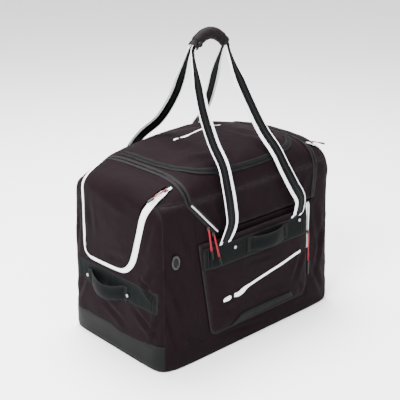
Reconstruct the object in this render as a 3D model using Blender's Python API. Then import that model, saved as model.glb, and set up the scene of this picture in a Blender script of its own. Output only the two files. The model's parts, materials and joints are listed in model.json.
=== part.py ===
"""Hockey equipment bag: sewn panels over a stiff base board, with a zipped lid, a zipped pocket at
each end, a zipped front pocket, webbing haul handles and two carry straps held by a padded grip.

Metres, +Z up. X runs along the bag, the front faces -Y, and the origin is the middle of the base.
"""

import math

import bmesh
import bpy
from mathutils import Matrix, Vector

# Body: a tapered box with rounded corners, and an arched top above the shoulder.
HALF_LENGTH = 0.388
HALF_DEPTH = 0.234
END_TAPER = 0.0105
SIDE_TAPER = 0.0135
SHOULDER = 0.44
ARCH_HEIGHT = 0.186
ARCH_MIDDLE = 0.03
ARCH_FALL = 0.55
CORNER_POWER = 12
ARCH_POWER = 3.8
CORNER_SPLIT = 0.944
TURN_HEIGHT = 0.41

# Cloth and tape thicknesses, and the gap between pieces that are sewn together.
FABRIC = 0.0035
TAPE = 0.0018
GAP = 0.0003
SEAM = 0.0005

# Base and heights of the seams.
BASE_THICK = 0.004
BASE_INSET = 0.002
BOARD_THICK = 0.004
BOARD_INSET = 0.010
TARP_TOP = 0.086
LID_HEM = 0.402
LID_FOLD = 0.514
PANEL_TOP = 0.520
TOP_SEAM = PANEL_TOP + 0.0012
TOP_ROOM = 0.0055
CORNER_ROOM = 0.012

# Lid.
LID_LEFT = -0.266
LID_RIGHT = 0.288
LID_BACK = 0.165
HEM_LEFT = -0.162
HEM_RIGHT = 0.272
LID_LIFT = 0.004
LIFT_POWER = 0.7
NOTCH_LOW = LID_HEM - 0.006
NOTCH_HIGH = 0.560
NOTCH_FRONT = -0.30
NOTCH_BACK = -0.10
LID_BAND_WIDTH = 0.022
LID_BAND_LIFT = 0.0008
BINDING_WIDTH = 0.005
BINDING_THICK = 0.0015
ZIP_TAPE_WIDTH = 0.014
ZIP_TAPE_THICK = 0.0014
ZIP_TAPE_SINK = FABRIC + 0.0050

# End pockets: the flap's outline, as (depth, height), the same on both ends.
FLAP_OUTLINE = [(-0.152, 0.546), (-0.132, 0.478), (-0.111, 0.410), (-0.094, 0.355), (-0.079, 0.321),
                (-0.054, 0.296), (-0.015, 0.286), (0.100, 0.283), (0.126, 0.290), (0.138, 0.311),
                (0.139, 0.460), (0.145, 0.546)]
FLAP_FRONT_TOP = -0.164
FLAP_BACK_TOP = 0.160
FLAP_ABOVE = 0.70
FLAP_CENTRE_HEIGHT = 0.45
FLAP_REACH = 0.50
FLAP_HINGE_X = 0.296
FLAP_SEAM = SEAM * 0.8
POCKET_DEPTH = 0.085
POCKET_WALL_ROOM = 0.004

# White trim round the end pockets.
TRIM_THICK = 0.0025
TRIM_LIFT = 0.0016
TRIM_GAP = 0.0008
TRIM_WIDE = 0.022
TRIM_NARROW = 0.009
TRIM_FRONT_SHARE = 0.30
TRIM_TAPER = 0.055
TRIM_TURNS = (57, 52, 47, 42, 36)
TRIM_OUTLINE_TOP = 0.520

# Front pocket.
POCKET_LEFT = -0.235
POCKET_RIGHT = 0.236
POCKET_LOW = 0.067
POCKET_TOP = 0.380
POCKET_SLANT = 0.044
POCKET_FULL = 0.014
POCKET_SOFT_SIDE = 0.18
POCKET_SOFT_EDGE = 0.12
FRONT_ZIP_X = POCKET_RIGHT + 0.014
FRONT_TRIM_TOP = POCKET_TOP + 0.012
FRONT_TRIM_LOW = 0.232
FRONT_TRIM_THICK = 0.003
FRONT_TRIM_WIDTH = 0.012
FRONT_TRIM_FLARE = 0.006
PATCH_LOW_LEFT = (-0.117, 0.073)
PATCH_LOW_RIGHT = (0.170, 0.083)
PATCH_TOP_LEFT = (-0.080, 0.110)
PATCH_TOP_RIGHT = (0.150, 0.110)
PATCH_THICK = 0.003
PATCH_GAP = 0.0012

# Vent.
VENT_X = -0.322
VENT_Z = 0.350
VENT_RADIUS = 0.0145
VENT_HOLE = 0.0095
VENT_OVAL = 1.55
VENT_MESH_RADIUS = 0.0088
VENT_MESH_OVAL = 1.6
VENT_RING_THICK = 0.003
VENT_MESH_THICK = 0.0012

# Haul bands and their hand loops.
HAUL_HEIGHT = 0.070
LOOP_HEIGHT = 0.048
LOOP_TAIL = 0.020
BAND_LIFT = 0.0020
FRONT_BAND = (-0.222, 0.226)
FRONT_BAND_LOW = 0.294
FRONT_LOOP = (-0.030, 0.112)
FRONT_LOOP_LOW = 0.308
FRONT_LOOP_REACH = 0.024
FRONT_RIVETS = ((-0.104, 0.342), (0.190, 0.350))
END_BAND_LOW = 0.192
END_BAND_LEVEL = 0.22
END_LOOP = (-0.050, 0.108)
END_LOOP_LOW = 0.190
END_LOOP_REACH = 0.026
END_LOOP_SAG = 0.016
END_RIVETS = ((-0.072, 0.212), (0.130, 0.212))
RIVET_RADIUS = 0.0055
RIVET_THICK = 0.002

# Carry straps.
STRAP_WIDTH = 0.046
STRAP_THICK = 0.0026
STRAP_FOOT = 0.376
STRAP_FOOT_DEPTH = 0.2460
STRAP_FOLDED = 0.018
STRAP_FOLD_FROM = 0.80
STRAP_FOLD_OVER = 0.08
STRAP_APART = 0.0060

# Grip.
GRIP_MIDDLE = 0.0155
GRIP_HALF = 0.066
GRIP_TOP = 0.941
GRIP_DROP = 0.034
GRIP_RADIUS = 0.019
GRIP_BORE = 0.0145
GRIP_SPLIT = 3.0
GRIP_WAIST = 0.10
SNAP_PLACE = 0.86
SNAP_RADIUS = 0.0085
SNAP_THICK = 0.005

# Zips: sizes are (width, length, thickness), and a pull hangs from the bridge on its slider's back.
SLIDER_SIZE = (0.0095, 0.013, 0.0040)
BRIDGE_DOWN = 0.0080
BRIDGE_RISE = 0.0046
CORD_WIDTH = 0.0036
CORD_THICK = 0.0028
TIP_WIDTH = 0.0064
TIP_THICK = 0.0036
TIP_TAPER = 0.7
MAIN_ZIP_STEP = 0.0085
MAIN_ZIP_HEIGHTS = {"main_zip_a": 0.4335, "main_zip_b": 0.4110}
MAIN_PULL = (0.066, 0.026)
MAIN_PULL_TILTS = {"main_zip_a": math.radians(9), "main_zip_b": math.radians(18)}
FRONT_ZIP_Z = 0.294
FRONT_PULL = (0.100, 0.050)
END_ZIP_RISE = 0.0052
END_PULL = (0.044, 0.024)

BODY_MIDDLE = 0.30
HINGE_RISE = 0.001


def clear_scene():
    for obj in list(bpy.data.objects):
        bpy.data.objects.remove(obj, do_unlink=True)


def finish(name, colour, roughness, metallic=0.0):
    """A plain Principled material."""
    material = bpy.data.materials.new(name)
    material.use_nodes = True
    shader = material.node_tree.nodes["Principled BSDF"]
    shader.inputs["Base Color"].default_value = (*colour, 1.0)
    shader.inputs["Roughness"].default_value = roughness
    shader.inputs["Metallic"].default_value = metallic
    return material


# ---------------------------------------------------------------- shape of the body

def half_length(z):
    return HALF_LENGTH - END_TAPER * min(z, SHOULDER) / SHOULDER


def half_depth(z):
    return HALF_DEPTH - SIDE_TAPER * min(z, SHOULDER) / SHOULDER


def arch_height(x):
    return ARCH_HEIGHT - ARCH_FALL * (x - ARCH_MIDDLE) ** 2


def beyond(point):
    """Below zero inside the body and above zero outside it."""
    x, y, z = point
    along = abs(x) / half_length(max(z, 0.0))
    across = abs(y) / half_depth(max(z, 0.0))
    rise = max(z - SHOULDER, 0.0) / max(arch_height(x), 0.05)
    section = across ** ARCH_POWER + rise ** ARCH_POWER
    return section ** (CORNER_POWER / ARCH_POWER) + along ** CORNER_POWER - 1.0


def skin(origin, direction):
    """The point where a line from inside the body meets its skin."""
    origin = Vector(origin)
    direction = Vector(direction).normalized()
    low, high = 0.0, 0.9
    for _ in range(40):
        middle = (low + high) / 2
        if beyond(origin + direction * middle) > 0:
            high = middle
        else:
            low = middle
    return origin + direction * low


def outward(point):
    """The skin's outward direction."""
    step = 0.0005
    slope = []
    for axis in range(3):
        shift = Vector((0, 0, 0))
        shift[axis] = step
        slope.append(beyond(point + shift) - beyond(point - shift))
    return Vector(slope).normalized()


def on_front(x, z, side=-1):
    return skin((x, 0.0, z), (0, side, 0))


def on_end(side, y, z):
    return skin((0.0, y, z), (side, 0, 0))


def on_top(x, y):
    return skin((x, y, BODY_MIDDLE), (0, 0, 1))


def span(low, high, count):
    return [low + (high - low) * i / (count - 1) for i in range(count)]


def spread(edge, count):
    """Evenly spread over the middle and closer together towards both edges, where the corners turn."""
    return [edge * math.sin(math.pi / 2 * t) for t in span(-1.0, 1.0, count)]


# ---------------------------------------------------------------- solids

def add_object(name, mesh, material, smooth=40):
    mesh.materials.append(material)
    mesh.shade_smooth()
    mesh.set_sharp_from_angle(angle=math.radians(smooth))
    obj = bpy.data.objects.new(name, mesh)
    bpy.context.scene.collection.objects.link(obj)
    return obj


def closed_grid(name, outer, inner, material, ring=False):
    """A closed solid between two grids of points of the same size. A ring's last row joins its first."""
    rows, columns = len(outer), len(outer[0])
    bm = bmesh.new()
    front = [[bm.verts.new(p) for p in row] for row in outer]
    back = [[bm.verts.new(p) for p in row] for row in inner]
    steps = rows if ring else rows - 1
    for i in range(steps):
        j = (i + 1) % rows
        for k in range(columns - 1):
            bm.faces.new((front[i][k], front[i][k + 1], front[j][k + 1], front[j][k]))
            bm.faces.new((back[i][k], back[j][k], back[j][k + 1], back[i][k + 1]))
        for k, flip in ((0, False), (columns - 1, True)):
            loop = (front[i][k], front[j][k], back[j][k], back[i][k])
            bm.faces.new(loop[::-1] if flip else loop)
    if not ring:
        for i, flip in ((0, True), (rows - 1, False)):
            for k in range(columns - 1):
                loop = (front[i][k], front[i][k + 1], back[i][k + 1], back[i][k])
                bm.faces.new(loop[::-1] if flip else loop)
    bmesh.ops.recalc_face_normals(bm, faces=bm.faces)
    if bm.calc_volume(signed=True) < 0:
        bmesh.ops.reverse_faces(bm, faces=bm.faces)
    mesh = bpy.data.meshes.new(name)
    bm.to_mesh(mesh)
    bm.free()
    return add_object(name, mesh, material)


def sheet(name, grid, material, thick=FABRIC, lift=0.0):
    """A panel of cloth: grid holds skin points, and lift is a number or a function of a point."""
    outer, inner = [], []
    for row in grid:
        outer.append([])
        inner.append([])
        for point in row:
            normal = outward(point)
            rise = lift(point) if callable(lift) else lift
            outer[-1].append(point + normal * rise)
            inner[-1].append(point + normal * (rise - thick))
    return closed_grid(name, outer, inner, material)


def ribbon(name, points, normals, widths, material, thick=TAPE):
    """A flat strip along points, whose flat side faces along normals."""
    outer, inner = [], []
    count = len(points)
    for i, point in enumerate(points):
        tangent = points[min(i + 1, count - 1)] - points[max(i - 1, 0)]
        normal = (normals[i] - tangent * normals[i].dot(tangent) / tangent.length_squared).normalized()
        across = tangent.cross(normal).normalized() * widths[i] / 2
        outer.append([point - across + normal * thick, point + across + normal * thick])
        inner.append([point - across, point + across])
    return closed_grid(name, outer, inner, material)


def prism(name, outline, depth, axis, material):
    """An outline of (across, up) points made solid along X or Y, between the two depths."""
    bm = bmesh.new()
    rings = []
    for d in depth:
        if axis == "X":
            ring = [bm.verts.new((d, a, b)) for a, b in outline]
        else:
            ring = [bm.verts.new((a, d, b)) for a, b in outline]
        rings.append(ring)
    bm.faces.new(rings[0])
    bm.faces.new(rings[1])
    count = len(outline)
    for i in range(count):
        j = (i + 1) % count
        bm.faces.new((rings[0][i], rings[0][j], rings[1][j], rings[1][i]))
    bmesh.ops.recalc_face_normals(bm, faces=bm.faces)
    mesh = bpy.data.meshes.new(name)
    bm.to_mesh(mesh)
    bm.free()
    return add_object(name, mesh, material)


def hide_helper(obj):
    obj.hide_render = True
    obj.display_type = "WIRE"


def boolean(obj, cutter, operation):
    modifier = obj.modifiers.new(cutter.name, "BOOLEAN")
    modifier.operation = operation
    modifier.solver = "EXACT"
    modifier.object = cutter


def smooth_path(points, steps):
    """A smooth curve through the points, with this many stretches between each pair."""
    points = [Vector(p) for p in points]
    path = []
    for i in range(len(points) - 1):
        p0 = points[max(i - 1, 0)]
        p1, p2 = points[i], points[i + 1]
        p3 = points[min(i + 2, len(points) - 1)]
        for step in range(steps):
            t = step / steps
            path.append(0.5 * (2 * p1 + (p2 - p0) * t + (2 * p0 - 5 * p1 + 4 * p2 - p3) * t ** 2
                               + (3 * p1 - p0 - 3 * p2 + p3) * t ** 3))
    return path + [points[-1]]


# ---------------------------------------------------------------- base

def plan_outline(z, inset, count=48):
    """The body's outline at a height, drawn in by inset."""
    outline = []
    for i in range(count):
        angle = math.tau * (i + 0.5) / count
        point = skin((0, 0, z), (math.cos(angle), math.sin(angle) * 0.6, 0))
        outline.append(point - outward(point) * inset)
    return outline


def slab(name, z, thick, inset, material):
    lower = [Vector((p.x, p.y, z)) for p in plan_outline(z, inset)]
    bm = bmesh.new()
    face = bm.faces.new([bm.verts.new(p) for p in lower])
    raised = bmesh.ops.extrude_face_region(bm, geom=[face])["geom"]
    for item in raised:
        if isinstance(item, bmesh.types.BMVert):
            item.co.z += thick
    bmesh.ops.recalc_face_normals(bm, faces=bm.faces)
    mesh = bpy.data.meshes.new(name)
    bm.to_mesh(mesh)
    bm.free()
    return add_object(name, mesh, material)


def make_base(tarp, board):
    slab("base_panel", 0.0, BASE_THICK, BASE_INSET, tarp)
    slab("base_board", BASE_THICK + GAP, BOARD_THICK, BOARD_INSET, board)


# ---------------------------------------------------------------- walls

def hem_left(z):
    return HEM_LEFT + (LID_LEFT - HEM_LEFT) * (z - LID_HEM) / (LID_FOLD - LID_HEM)


def hem_right(z):
    return HEM_RIGHT + (LID_RIGHT - HEM_RIGHT) * (z - LID_HEM) / (LID_FOLD - LID_HEM)


def make_long_walls(fabric):
    rows = span(BASE_THICK + SEAM, PANEL_TOP, 14)
    columns = spread(CORNER_SPLIT, 25)
    for name, side in (("front_panel", -1), ("back_panel", 1)):
        grid = [[on_front(s * half_length(z), z, side) for s in columns] for z in rows]
        panel = sheet(name, grid, fabric)
        if side < 0:
            room = SEAM * 2
            notch = [(hem_left(NOTCH_LOW) - room, NOTCH_LOW), (hem_right(NOTCH_LOW) + room, NOTCH_LOW),
                     (hem_right(NOTCH_HIGH) + room, NOTCH_HIGH), (hem_left(NOTCH_HIGH) - room, NOTCH_HIGH)]
            cutter = prism("lid_notch", notch, (NOTCH_FRONT, NOTCH_BACK), "Y", fabric)
            hide_helper(cutter)
            boolean(panel, cutter, "DIFFERENCE")


def seam_room():
    """What the corner seam leaves for the section: the arch and depth powers add up to this on the seam."""
    return (1 - CORNER_SPLIT ** CORNER_POWER) ** (ARCH_POWER / CORNER_POWER)


def end_height(side, y):
    """Height of the end wall's top seam above a depth y."""
    across = abs(y) / half_depth(SHOULDER)
    room = max(seam_room() - across ** ARCH_POWER, 0.0) ** (1 / ARCH_POWER)
    return SHOULDER + arch_height(side * CORNER_SPLIT * half_length(SHOULDER)) * room


def end_grid(side, tall=13, wide=19):
    """An end wall, between the corner seams and up to the top seam."""
    columns = []
    for s in spread(CORNER_SPLIT - CORNER_ROOM, wide):
        top = end_height(side, s * half_depth(SHOULDER)) - TOP_ROOM
        columns.append([on_end(side, s * half_depth(z), z) for z in span(BASE_THICK + SEAM, top, tall)])
    return columns


def over_end(side, y, angle):
    """The skin above an end wall: angle 0 points out along X, and 90 points up."""
    turn = math.radians(angle)
    return skin((side * 0.20, y, 0.42), (side * math.cos(turn), 0, math.sin(turn)))


def top_strip(columns, front_turn, back_turn, rows):
    """Skin points of the top at each x of columns. A turn gives degrees from straight up at an x."""
    grid = []
    for i in range(rows):
        row = []
        for x in columns:
            low, high = front_turn(x), back_turn(x)
            turn = math.radians(low + (high - low) * i / (rows - 1))
            row.append(skin((x, 0, TURN_HEIGHT), (0, math.sin(turn), math.cos(turn))))
        grid.append(row)
    return grid


def turn_at_height(x, z, side):
    """Degrees from straight up, seen from the turning line, at which the skin has this height."""
    point = on_front(x, z, side)
    return math.degrees(math.atan2(point.y, point.z - TURN_HEIGHT))


def turn_at_depth(x, y):
    point = on_top(x, y)
    return math.degrees(math.atan2(point.y, point.z - TURN_HEIGHT))


def front_seam_turn(x):
    return turn_at_height(x, TOP_SEAM, -1)


def back_seam_turn(x):
    return turn_at_height(x, TOP_SEAM, 1)


def cap_grid(side, edge):
    """The strip of top between the lid and an end wall, from the front panel's seam over to the back's."""
    far = side * CORNER_SPLIT * half_length(SHOULDER)
    columns = [edge + (far - edge) * math.sin(math.pi / 2 * t) for t in span(0.0, 1.0, 9)]
    return top_strip(columns, front_seam_turn, back_seam_turn, 19)


def flap_prism(name, side, grow, material):
    """The end pocket's opening as a solid that runs out through the wall and up through the top."""
    points = [(FLAP_FRONT_TOP, FLAP_ABOVE)] + FLAP_OUTLINE + [(FLAP_BACK_TOP, FLAP_ABOVE)]
    outline = []
    for y, z in points:
        away = Vector((y, z - FLAP_CENTRE_HEIGHT)).normalized()
        outline.append((y + away.x * grow, z + away.y * grow))
    edge = FLAP_HINGE_X - grow
    cutter = prism(name, outline, (side * edge, side * FLAP_REACH), "X", material)
    hide_helper(cutter)
    return cutter


def make_ends(fabric, tarp, trim):
    for word, side in (("left", -1), ("right", 1)):
        opening = flap_prism(word + "_opening_cutter", side, FLAP_SEAM, fabric)
        blank = flap_prism(word + "_flap_cutter", side, -FLAP_SEAM, fabric)
        wall = sheet(word + "_end_panel", end_grid(side), fabric)
        boolean(wall, opening, "DIFFERENCE")
        lid_edge = LID_RIGHT + SEAM * 1.5 if side > 0 else LID_LEFT - SEAM * 1.5
        cap = sheet(word + "_end_top", cap_grid(side, lid_edge), fabric)
        boolean(cap, opening, "DIFFERENCE")

        angles = span(-42, 64, 17)
        flap_rows = [[over_end(side, y, a) for y in span(-0.165, 0.165, 14)] for a in angles]
        flap = sheet(word + "_pocket_flap", flap_rows, fabric, FABRIC)
        boolean(flap, blank, "INTERSECT")

        band = [[on_end(side, s * half_depth(z), z) for s in spread(CORNER_SPLIT - CORNER_ROOM, 19)]
                for z in span(BASE_THICK + BASE_INSET, TARP_TOP, 3)]
        sheet(word + "_tarp_band", band, tarp, TAPE, GAP + TAPE)
        make_pocket_wall(word, side, fabric)
        make_flap_trim(word, side, trim)


def make_pocket_wall(word, side, fabric):
    """The cloth wall that parts the end pocket from the main compartment."""
    x = side * (half_length(BODY_MIDDLE) - POCKET_DEPTH)
    outline = []
    for turn in span(-128, 128, 25):
        angle = math.radians(turn)
        point = skin((x, 0, BODY_MIDDLE), (0, math.sin(angle), math.cos(angle)))
        inside = point - outward(point) * (FABRIC + POCKET_WALL_ROOM)
        outline.append((inside.y, inside.z))
    low = BASE_THICK + BOARD_THICK + POCKET_WALL_ROOM
    outline = [(y, z) for y, z in outline if z > low + POCKET_WALL_ROOM]
    edge = abs(outline[0][0])
    outline = [(-edge, low)] + outline + [(edge, low)]
    prism(word + "_pocket_wall", outline, (x, x + side * FABRIC), "X", fabric)


def flap_edge_path(side):
    """Skin points just outside the flap's edge, from the top down the front, under and up the back."""
    points, widths = [], []
    last = TRIM_TURNS[-1]
    for angle in TRIM_TURNS:
        share = (angle - last) / (TRIM_TURNS[0] - last)
        points.append(over_end(side, FLAP_FRONT_TOP - 0.003 * share, angle))
        widths.append(TRIM_WIDE - 0.008 * share)
    outline = FLAP_OUTLINE[:]
    outline[0] = (outline[0][0], TRIM_OUTLINE_TOP)
    outline[-1] = (outline[-1][0] - 0.001, TRIM_OUTLINE_TOP)
    path = smooth_path([(0, y, z) for y, z in outline], 3)
    for i, point in enumerate(path):
        share = i / (len(path) - 1)
        width = TRIM_WIDE - max(share - TRIM_FRONT_SHARE, 0.0) * TRIM_TAPER
        width = max(TRIM_NARROW, width)
        tangent = path[min(i + 1, len(path) - 1)] - path[max(i - 1, 0)]
        away = Vector((0, tangent.z, -tangent.y)).normalized()
        shifted = point + away * (width / 2 + TRIM_GAP)
        points.append(on_end(side, shifted.y, shifted.z))
        widths.append(width)
    for angle in reversed(TRIM_TURNS):
        share = (angle - last) / (TRIM_TURNS[0] - last)
        points.append(over_end(side, 0.152 + 0.006 * share, angle))
        widths.append(TRIM_NARROW)
    return points, widths


def make_flap_trim(word, side, trim):
    points, widths = flap_edge_path(side)
    normals = [outward(p) for p in points]
    lifted = [p + n * TRIM_LIFT for p, n in zip(points, normals)]
    ribbon(word + "_pocket_trim", lifted, normals, widths, trim, TRIM_THICK)


# ---------------------------------------------------------------- lid

def lid_front_turn(x):
    return turn_at_height(x, LID_FOLD + SEAM, -1)


def lid_back_turn(x):
    return turn_at_depth(x, LID_BACK)


def yoke_turn(x):
    return turn_at_depth(x, LID_BACK + 2 * SEAM)


def make_lid(fabric, tape, grey):
    """The zipped lid: an arched top, a drop over the front that hangs from it, and their bound edges."""
    columns = span(LID_LEFT, LID_RIGHT, 15)
    sheet("lid_panel", top_strip(columns, lid_front_turn, lid_back_turn, 17), fabric)
    sheet("back_yoke", top_strip(columns, yoke_turn, back_seam_turn, 5), fabric)

    rows = []
    for z in span(LID_HEM, LID_FOLD - SEAM, 8):
        rows.append([on_front(x, z) for x in span(hem_left(z) + SEAM, hem_right(z) - SEAM, 15)])
    sheet("lid_drop", rows, fabric, FABRIC, drop_lift)

    binding, normals = [], []
    for z in span(LID_FOLD - 0.006, LID_HEM + 0.012, 7):
        point = on_front(hem_left(z) + 0.004, z)
        normals.append(outward(point))
        binding.append(point + normals[-1] * (drop_lift(point) + LID_BAND_LIFT))
    ribbon("lid_drop_binding", binding, normals, [BINDING_WIDTH] * len(binding), grey, BINDING_THICK)

    path = lid_band_path()
    normals = [outward(p) for p in path]
    raised = [p + n * LID_BAND_LIFT for p, n in zip(path, normals)]
    ribbon("lid_band", raised, normals, [LID_BAND_WIDTH] * len(path), tape)


def drop_lift(point):
    """The drop stands a little off the front wall towards its hem."""
    fallen = min(max((LID_FOLD - point.z) / (LID_FOLD - LID_HEM), 0.0), 1.0)
    return LID_LIFT * fallen ** LIFT_POWER


def lid_band_path():
    """Middle of the covered seam that runs round the top of the lid in a U."""
    corners = [(-0.236, 0.120), (-0.238, 0.03), (-0.236, -0.065), (-0.222, -0.125), (-0.190, -0.166),
               (-0.130, -0.189), (-0.050, -0.199), (0.050, -0.200), (0.130, -0.193), (0.200, -0.172),
               (0.238, -0.125), (0.252, -0.065), (0.254, 0.03), (0.252, 0.120)]
    return [on_top(p.x, p.y) for p in smooth_path([(x, y, 0) for x, y in corners], 3)]


# ---------------------------------------------------------------- front

def pocket_left(z):
    return POCKET_LEFT + POCKET_SLANT * (POCKET_TOP - z) / (POCKET_TOP - POCKET_LOW)


def pocket_lift(point):
    """How far the front pocket stands off the panel: full in the middle, sewn down at the edges."""
    across = (point.x - pocket_left(point.z)) / (POCKET_RIGHT - pocket_left(point.z))
    up = (point.z - POCKET_LOW) / (POCKET_TOP - POCKET_LOW)
    left = min(max(across, 0.0) / POCKET_SOFT_SIDE, 1.0)
    right = 0.55 + 0.45 * min(max(1 - across, 0.0) / POCKET_SOFT_SIDE, 1.0)
    low = min(max(up, 0.0) / POCKET_SOFT_EDGE, 1.0)
    high = 0.35 + 0.65 * min(max(1 - up, 0.0) / POCKET_SOFT_EDGE, 1.0)
    return TAPE + GAP + POCKET_FULL * math.sin(left * right * low * high * math.pi / 2)


def on_pocket(x, z):
    """A point on the outside of the front pocket, and its outward direction."""
    point = on_front(x, z)
    normal = outward(point)
    return point + normal * pocket_lift(point), normal


def make_front_pocket(fabric, trim, patch):
    rows = [[on_front(x, z) for x in span(pocket_left(z), POCKET_RIGHT, 25)]
            for z in span(POCKET_LOW, POCKET_TOP, 17)]
    sheet("front_pocket", rows, fabric, TAPE, pocket_lift)

    points, normals, widths = [], [], []
    for z in span(FRONT_TRIM_TOP, FRONT_TRIM_LOW, 9):
        point = on_front(FRONT_ZIP_X, z)
        normals.append(outward(point))
        points.append(point + normals[-1] * GAP)
        share = (z - FRONT_TRIM_LOW) / (FRONT_TRIM_TOP - FRONT_TRIM_LOW)
        widths.append(FRONT_TRIM_WIDTH + FRONT_TRIM_FLARE * share)
    ribbon("front_pocket_trim", points, normals, widths, trim, FRONT_TRIM_THICK)

    outer, inner = [], []
    for s in span(0.0, 1.0, 13):
        column_out, column_in = [], []
        for t in (0.0, 0.5, 1.0):
            bottom = Vector(PATCH_LOW_LEFT).lerp(Vector(PATCH_LOW_RIGHT), s)
            top = Vector(PATCH_TOP_LEFT).lerp(Vector(PATCH_TOP_RIGHT), s)
            spot = bottom.lerp(top, t)
            point, normal = on_pocket(spot.x, spot.y)
            column_out.append(point + normal * (PATCH_GAP + PATCH_THICK))
            column_in.append(point + normal * PATCH_GAP)
        outer.append(column_out)
        inner.append(column_in)
    closed_grid("front_patch", outer, inner, patch)


def disc(name, centre, normal, radius, thick, material, hole=0.0, oval=1.0, sides=16):
    """A round plate on the skin: domed at the edge, with a hole if one is asked for."""
    normal = normal.normalized()
    across = Vector((0, 0, 1)).cross(normal).normalized()
    up = normal.cross(across)
    profile = [(radius, 0.0), (radius, thick * 0.5), (radius * 0.8, thick)]
    profile += [(hole, thick), (hole, 0.0)] if hole else [(0.0, thick)]
    bm = bmesh.new()
    rings = []
    for r, h in profile:
        if r == 0.0:
            rings.append([bm.verts.new(centre + normal * h)])
            continue
        ring = []
        for i in range(sides):
            angle = math.tau * i / sides
            ring.append(bm.verts.new(centre + across * math.cos(angle) * r + up * math.sin(angle) * r * oval
                                     + normal * h))
        rings.append(ring)
    pairs = list(zip(rings, rings[1:]))
    if hole:
        pairs.append((rings[-1], rings[0]))
    for lower, upper in pairs:
        for i in range(sides):
            j = (i + 1) % sides
            if len(upper) == 1:
                bm.faces.new((lower[i], lower[j], upper[0]))
            else:
                bm.faces.new((lower[i], lower[j], upper[j], upper[i]))
    if not hole:
        bm.faces.new(rings[0])
    bmesh.ops.recalc_face_normals(bm, faces=bm.faces)
    mesh = bpy.data.meshes.new(name)
    bm.to_mesh(mesh)
    bm.free()
    return add_object(name, mesh, material)


def make_vent(metal, mesh_cloth):
    """The oval vent low on the front's left, with its mesh."""
    point = on_front(VENT_X, VENT_Z)
    normal = outward(point)
    centre = point + normal * GAP
    disc("vent_ring", centre, normal, VENT_RADIUS, VENT_RING_THICK, metal, VENT_HOLE, VENT_OVAL, 28)
    disc("vent_mesh", centre, normal, VENT_MESH_RADIUS, VENT_MESH_THICK, mesh_cloth,
         oval=VENT_MESH_OVAL, sides=24)


# ---------------------------------------------------------------- webbing handles

def band_strip(name, place, along, low, high, material, thick=TAPE, lift=BAND_LIFT):
    """A flat band of webbing: place(a, z) gives the point under it and its outward direction."""
    outer, inner = [], []
    for a in along:
        points = [place(a, z) for z in span(low, high, 3)]
        outer.append([p + n * (lift + thick) for p, n in points])
        inner.append([p + n * lift for p, n in points])
    return closed_grid(name, outer, inner, material)


def loop_lift(share, reach):
    """How far a haul loop stands off its band, from one end to the other."""
    return reach * math.sin(math.pi * share) ** 0.6 if 0 < share < 1 else 0.0


def haul_loop(name, place, start, end, low, high, reach, sag, material):
    """The hand loop: webbing sewn down at both ends and standing off between them."""
    outer, inner = [], []
    for s in span(-1.0, 1.0, 25):
        a = (start + end) / 2 + s * ((end - start) / 2 + LOOP_TAIL)
        share = (a - start) / (end - start)
        off = loop_lift(share, reach)
        drop = sag * max(0.0, math.sin(math.pi * min(max(share, 0.0), 1.0)))
        row_out, row_in = [], []
        for z in span(low, high, 3):
            point, normal = place(a, z - drop)
            row_out.append(point + normal * (off + BAND_LIFT + GAP + TAPE * 2))
            row_in.append(point + normal * (off + BAND_LIFT + GAP + TAPE))
        outer.append(row_out)
        inner.append(row_in)
    return closed_grid(name, outer, inner, material)


def on_wall(side):
    """A function that gives an end wall's point and outward direction at a depth and height."""
    def place(y, z):
        point = on_end(side, y, z)
        return point, outward(point)
    return place


def rivet(name, place, spot, lift, metal):
    point, normal = place(*spot)
    disc(name, point + normal * lift, normal, RIVET_RADIUS, RIVET_THICK, metal, sides=12)


def make_haul_handles(webbing, metal):
    band_strip("front_haul_band", on_pocket, span(*FRONT_BAND, 21), FRONT_BAND_LOW,
               FRONT_BAND_LOW + HAUL_HEIGHT, webbing)
    haul_loop("front_haul_loop", on_pocket, *FRONT_LOOP, FRONT_LOOP_LOW,
              FRONT_LOOP_LOW + LOOP_HEIGHT, FRONT_LOOP_REACH, 0.0, webbing)
    for i, spot in enumerate(FRONT_RIVETS):
        rivet(f"front_rivet_{i + 1}", on_pocket, spot, BAND_LIFT + TAPE + GAP, metal)
    for word, side in (("left", -1), ("right", 1)):
        place = on_wall(side)
        along = [s * half_depth(END_BAND_LEVEL) for s in spread(CORNER_SPLIT - CORNER_ROOM, 19)][2:-2]
        band_strip(word + "_haul_band", place, along, END_BAND_LOW, END_BAND_LOW + HAUL_HEIGHT, webbing)
        haul_loop(word + "_haul_loop", place, *END_LOOP, END_LOOP_LOW,
                  END_LOOP_LOW + LOOP_HEIGHT, END_LOOP_REACH, END_LOOP_SAG, webbing)
        for i, spot in enumerate(END_RIVETS):
            rivet(f"{word}_rivet_{i + 1}", place, spot, BAND_LIFT + TAPE * 2 + GAP * 2, metal)


# ---------------------------------------------------------------- carry straps and grip

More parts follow.
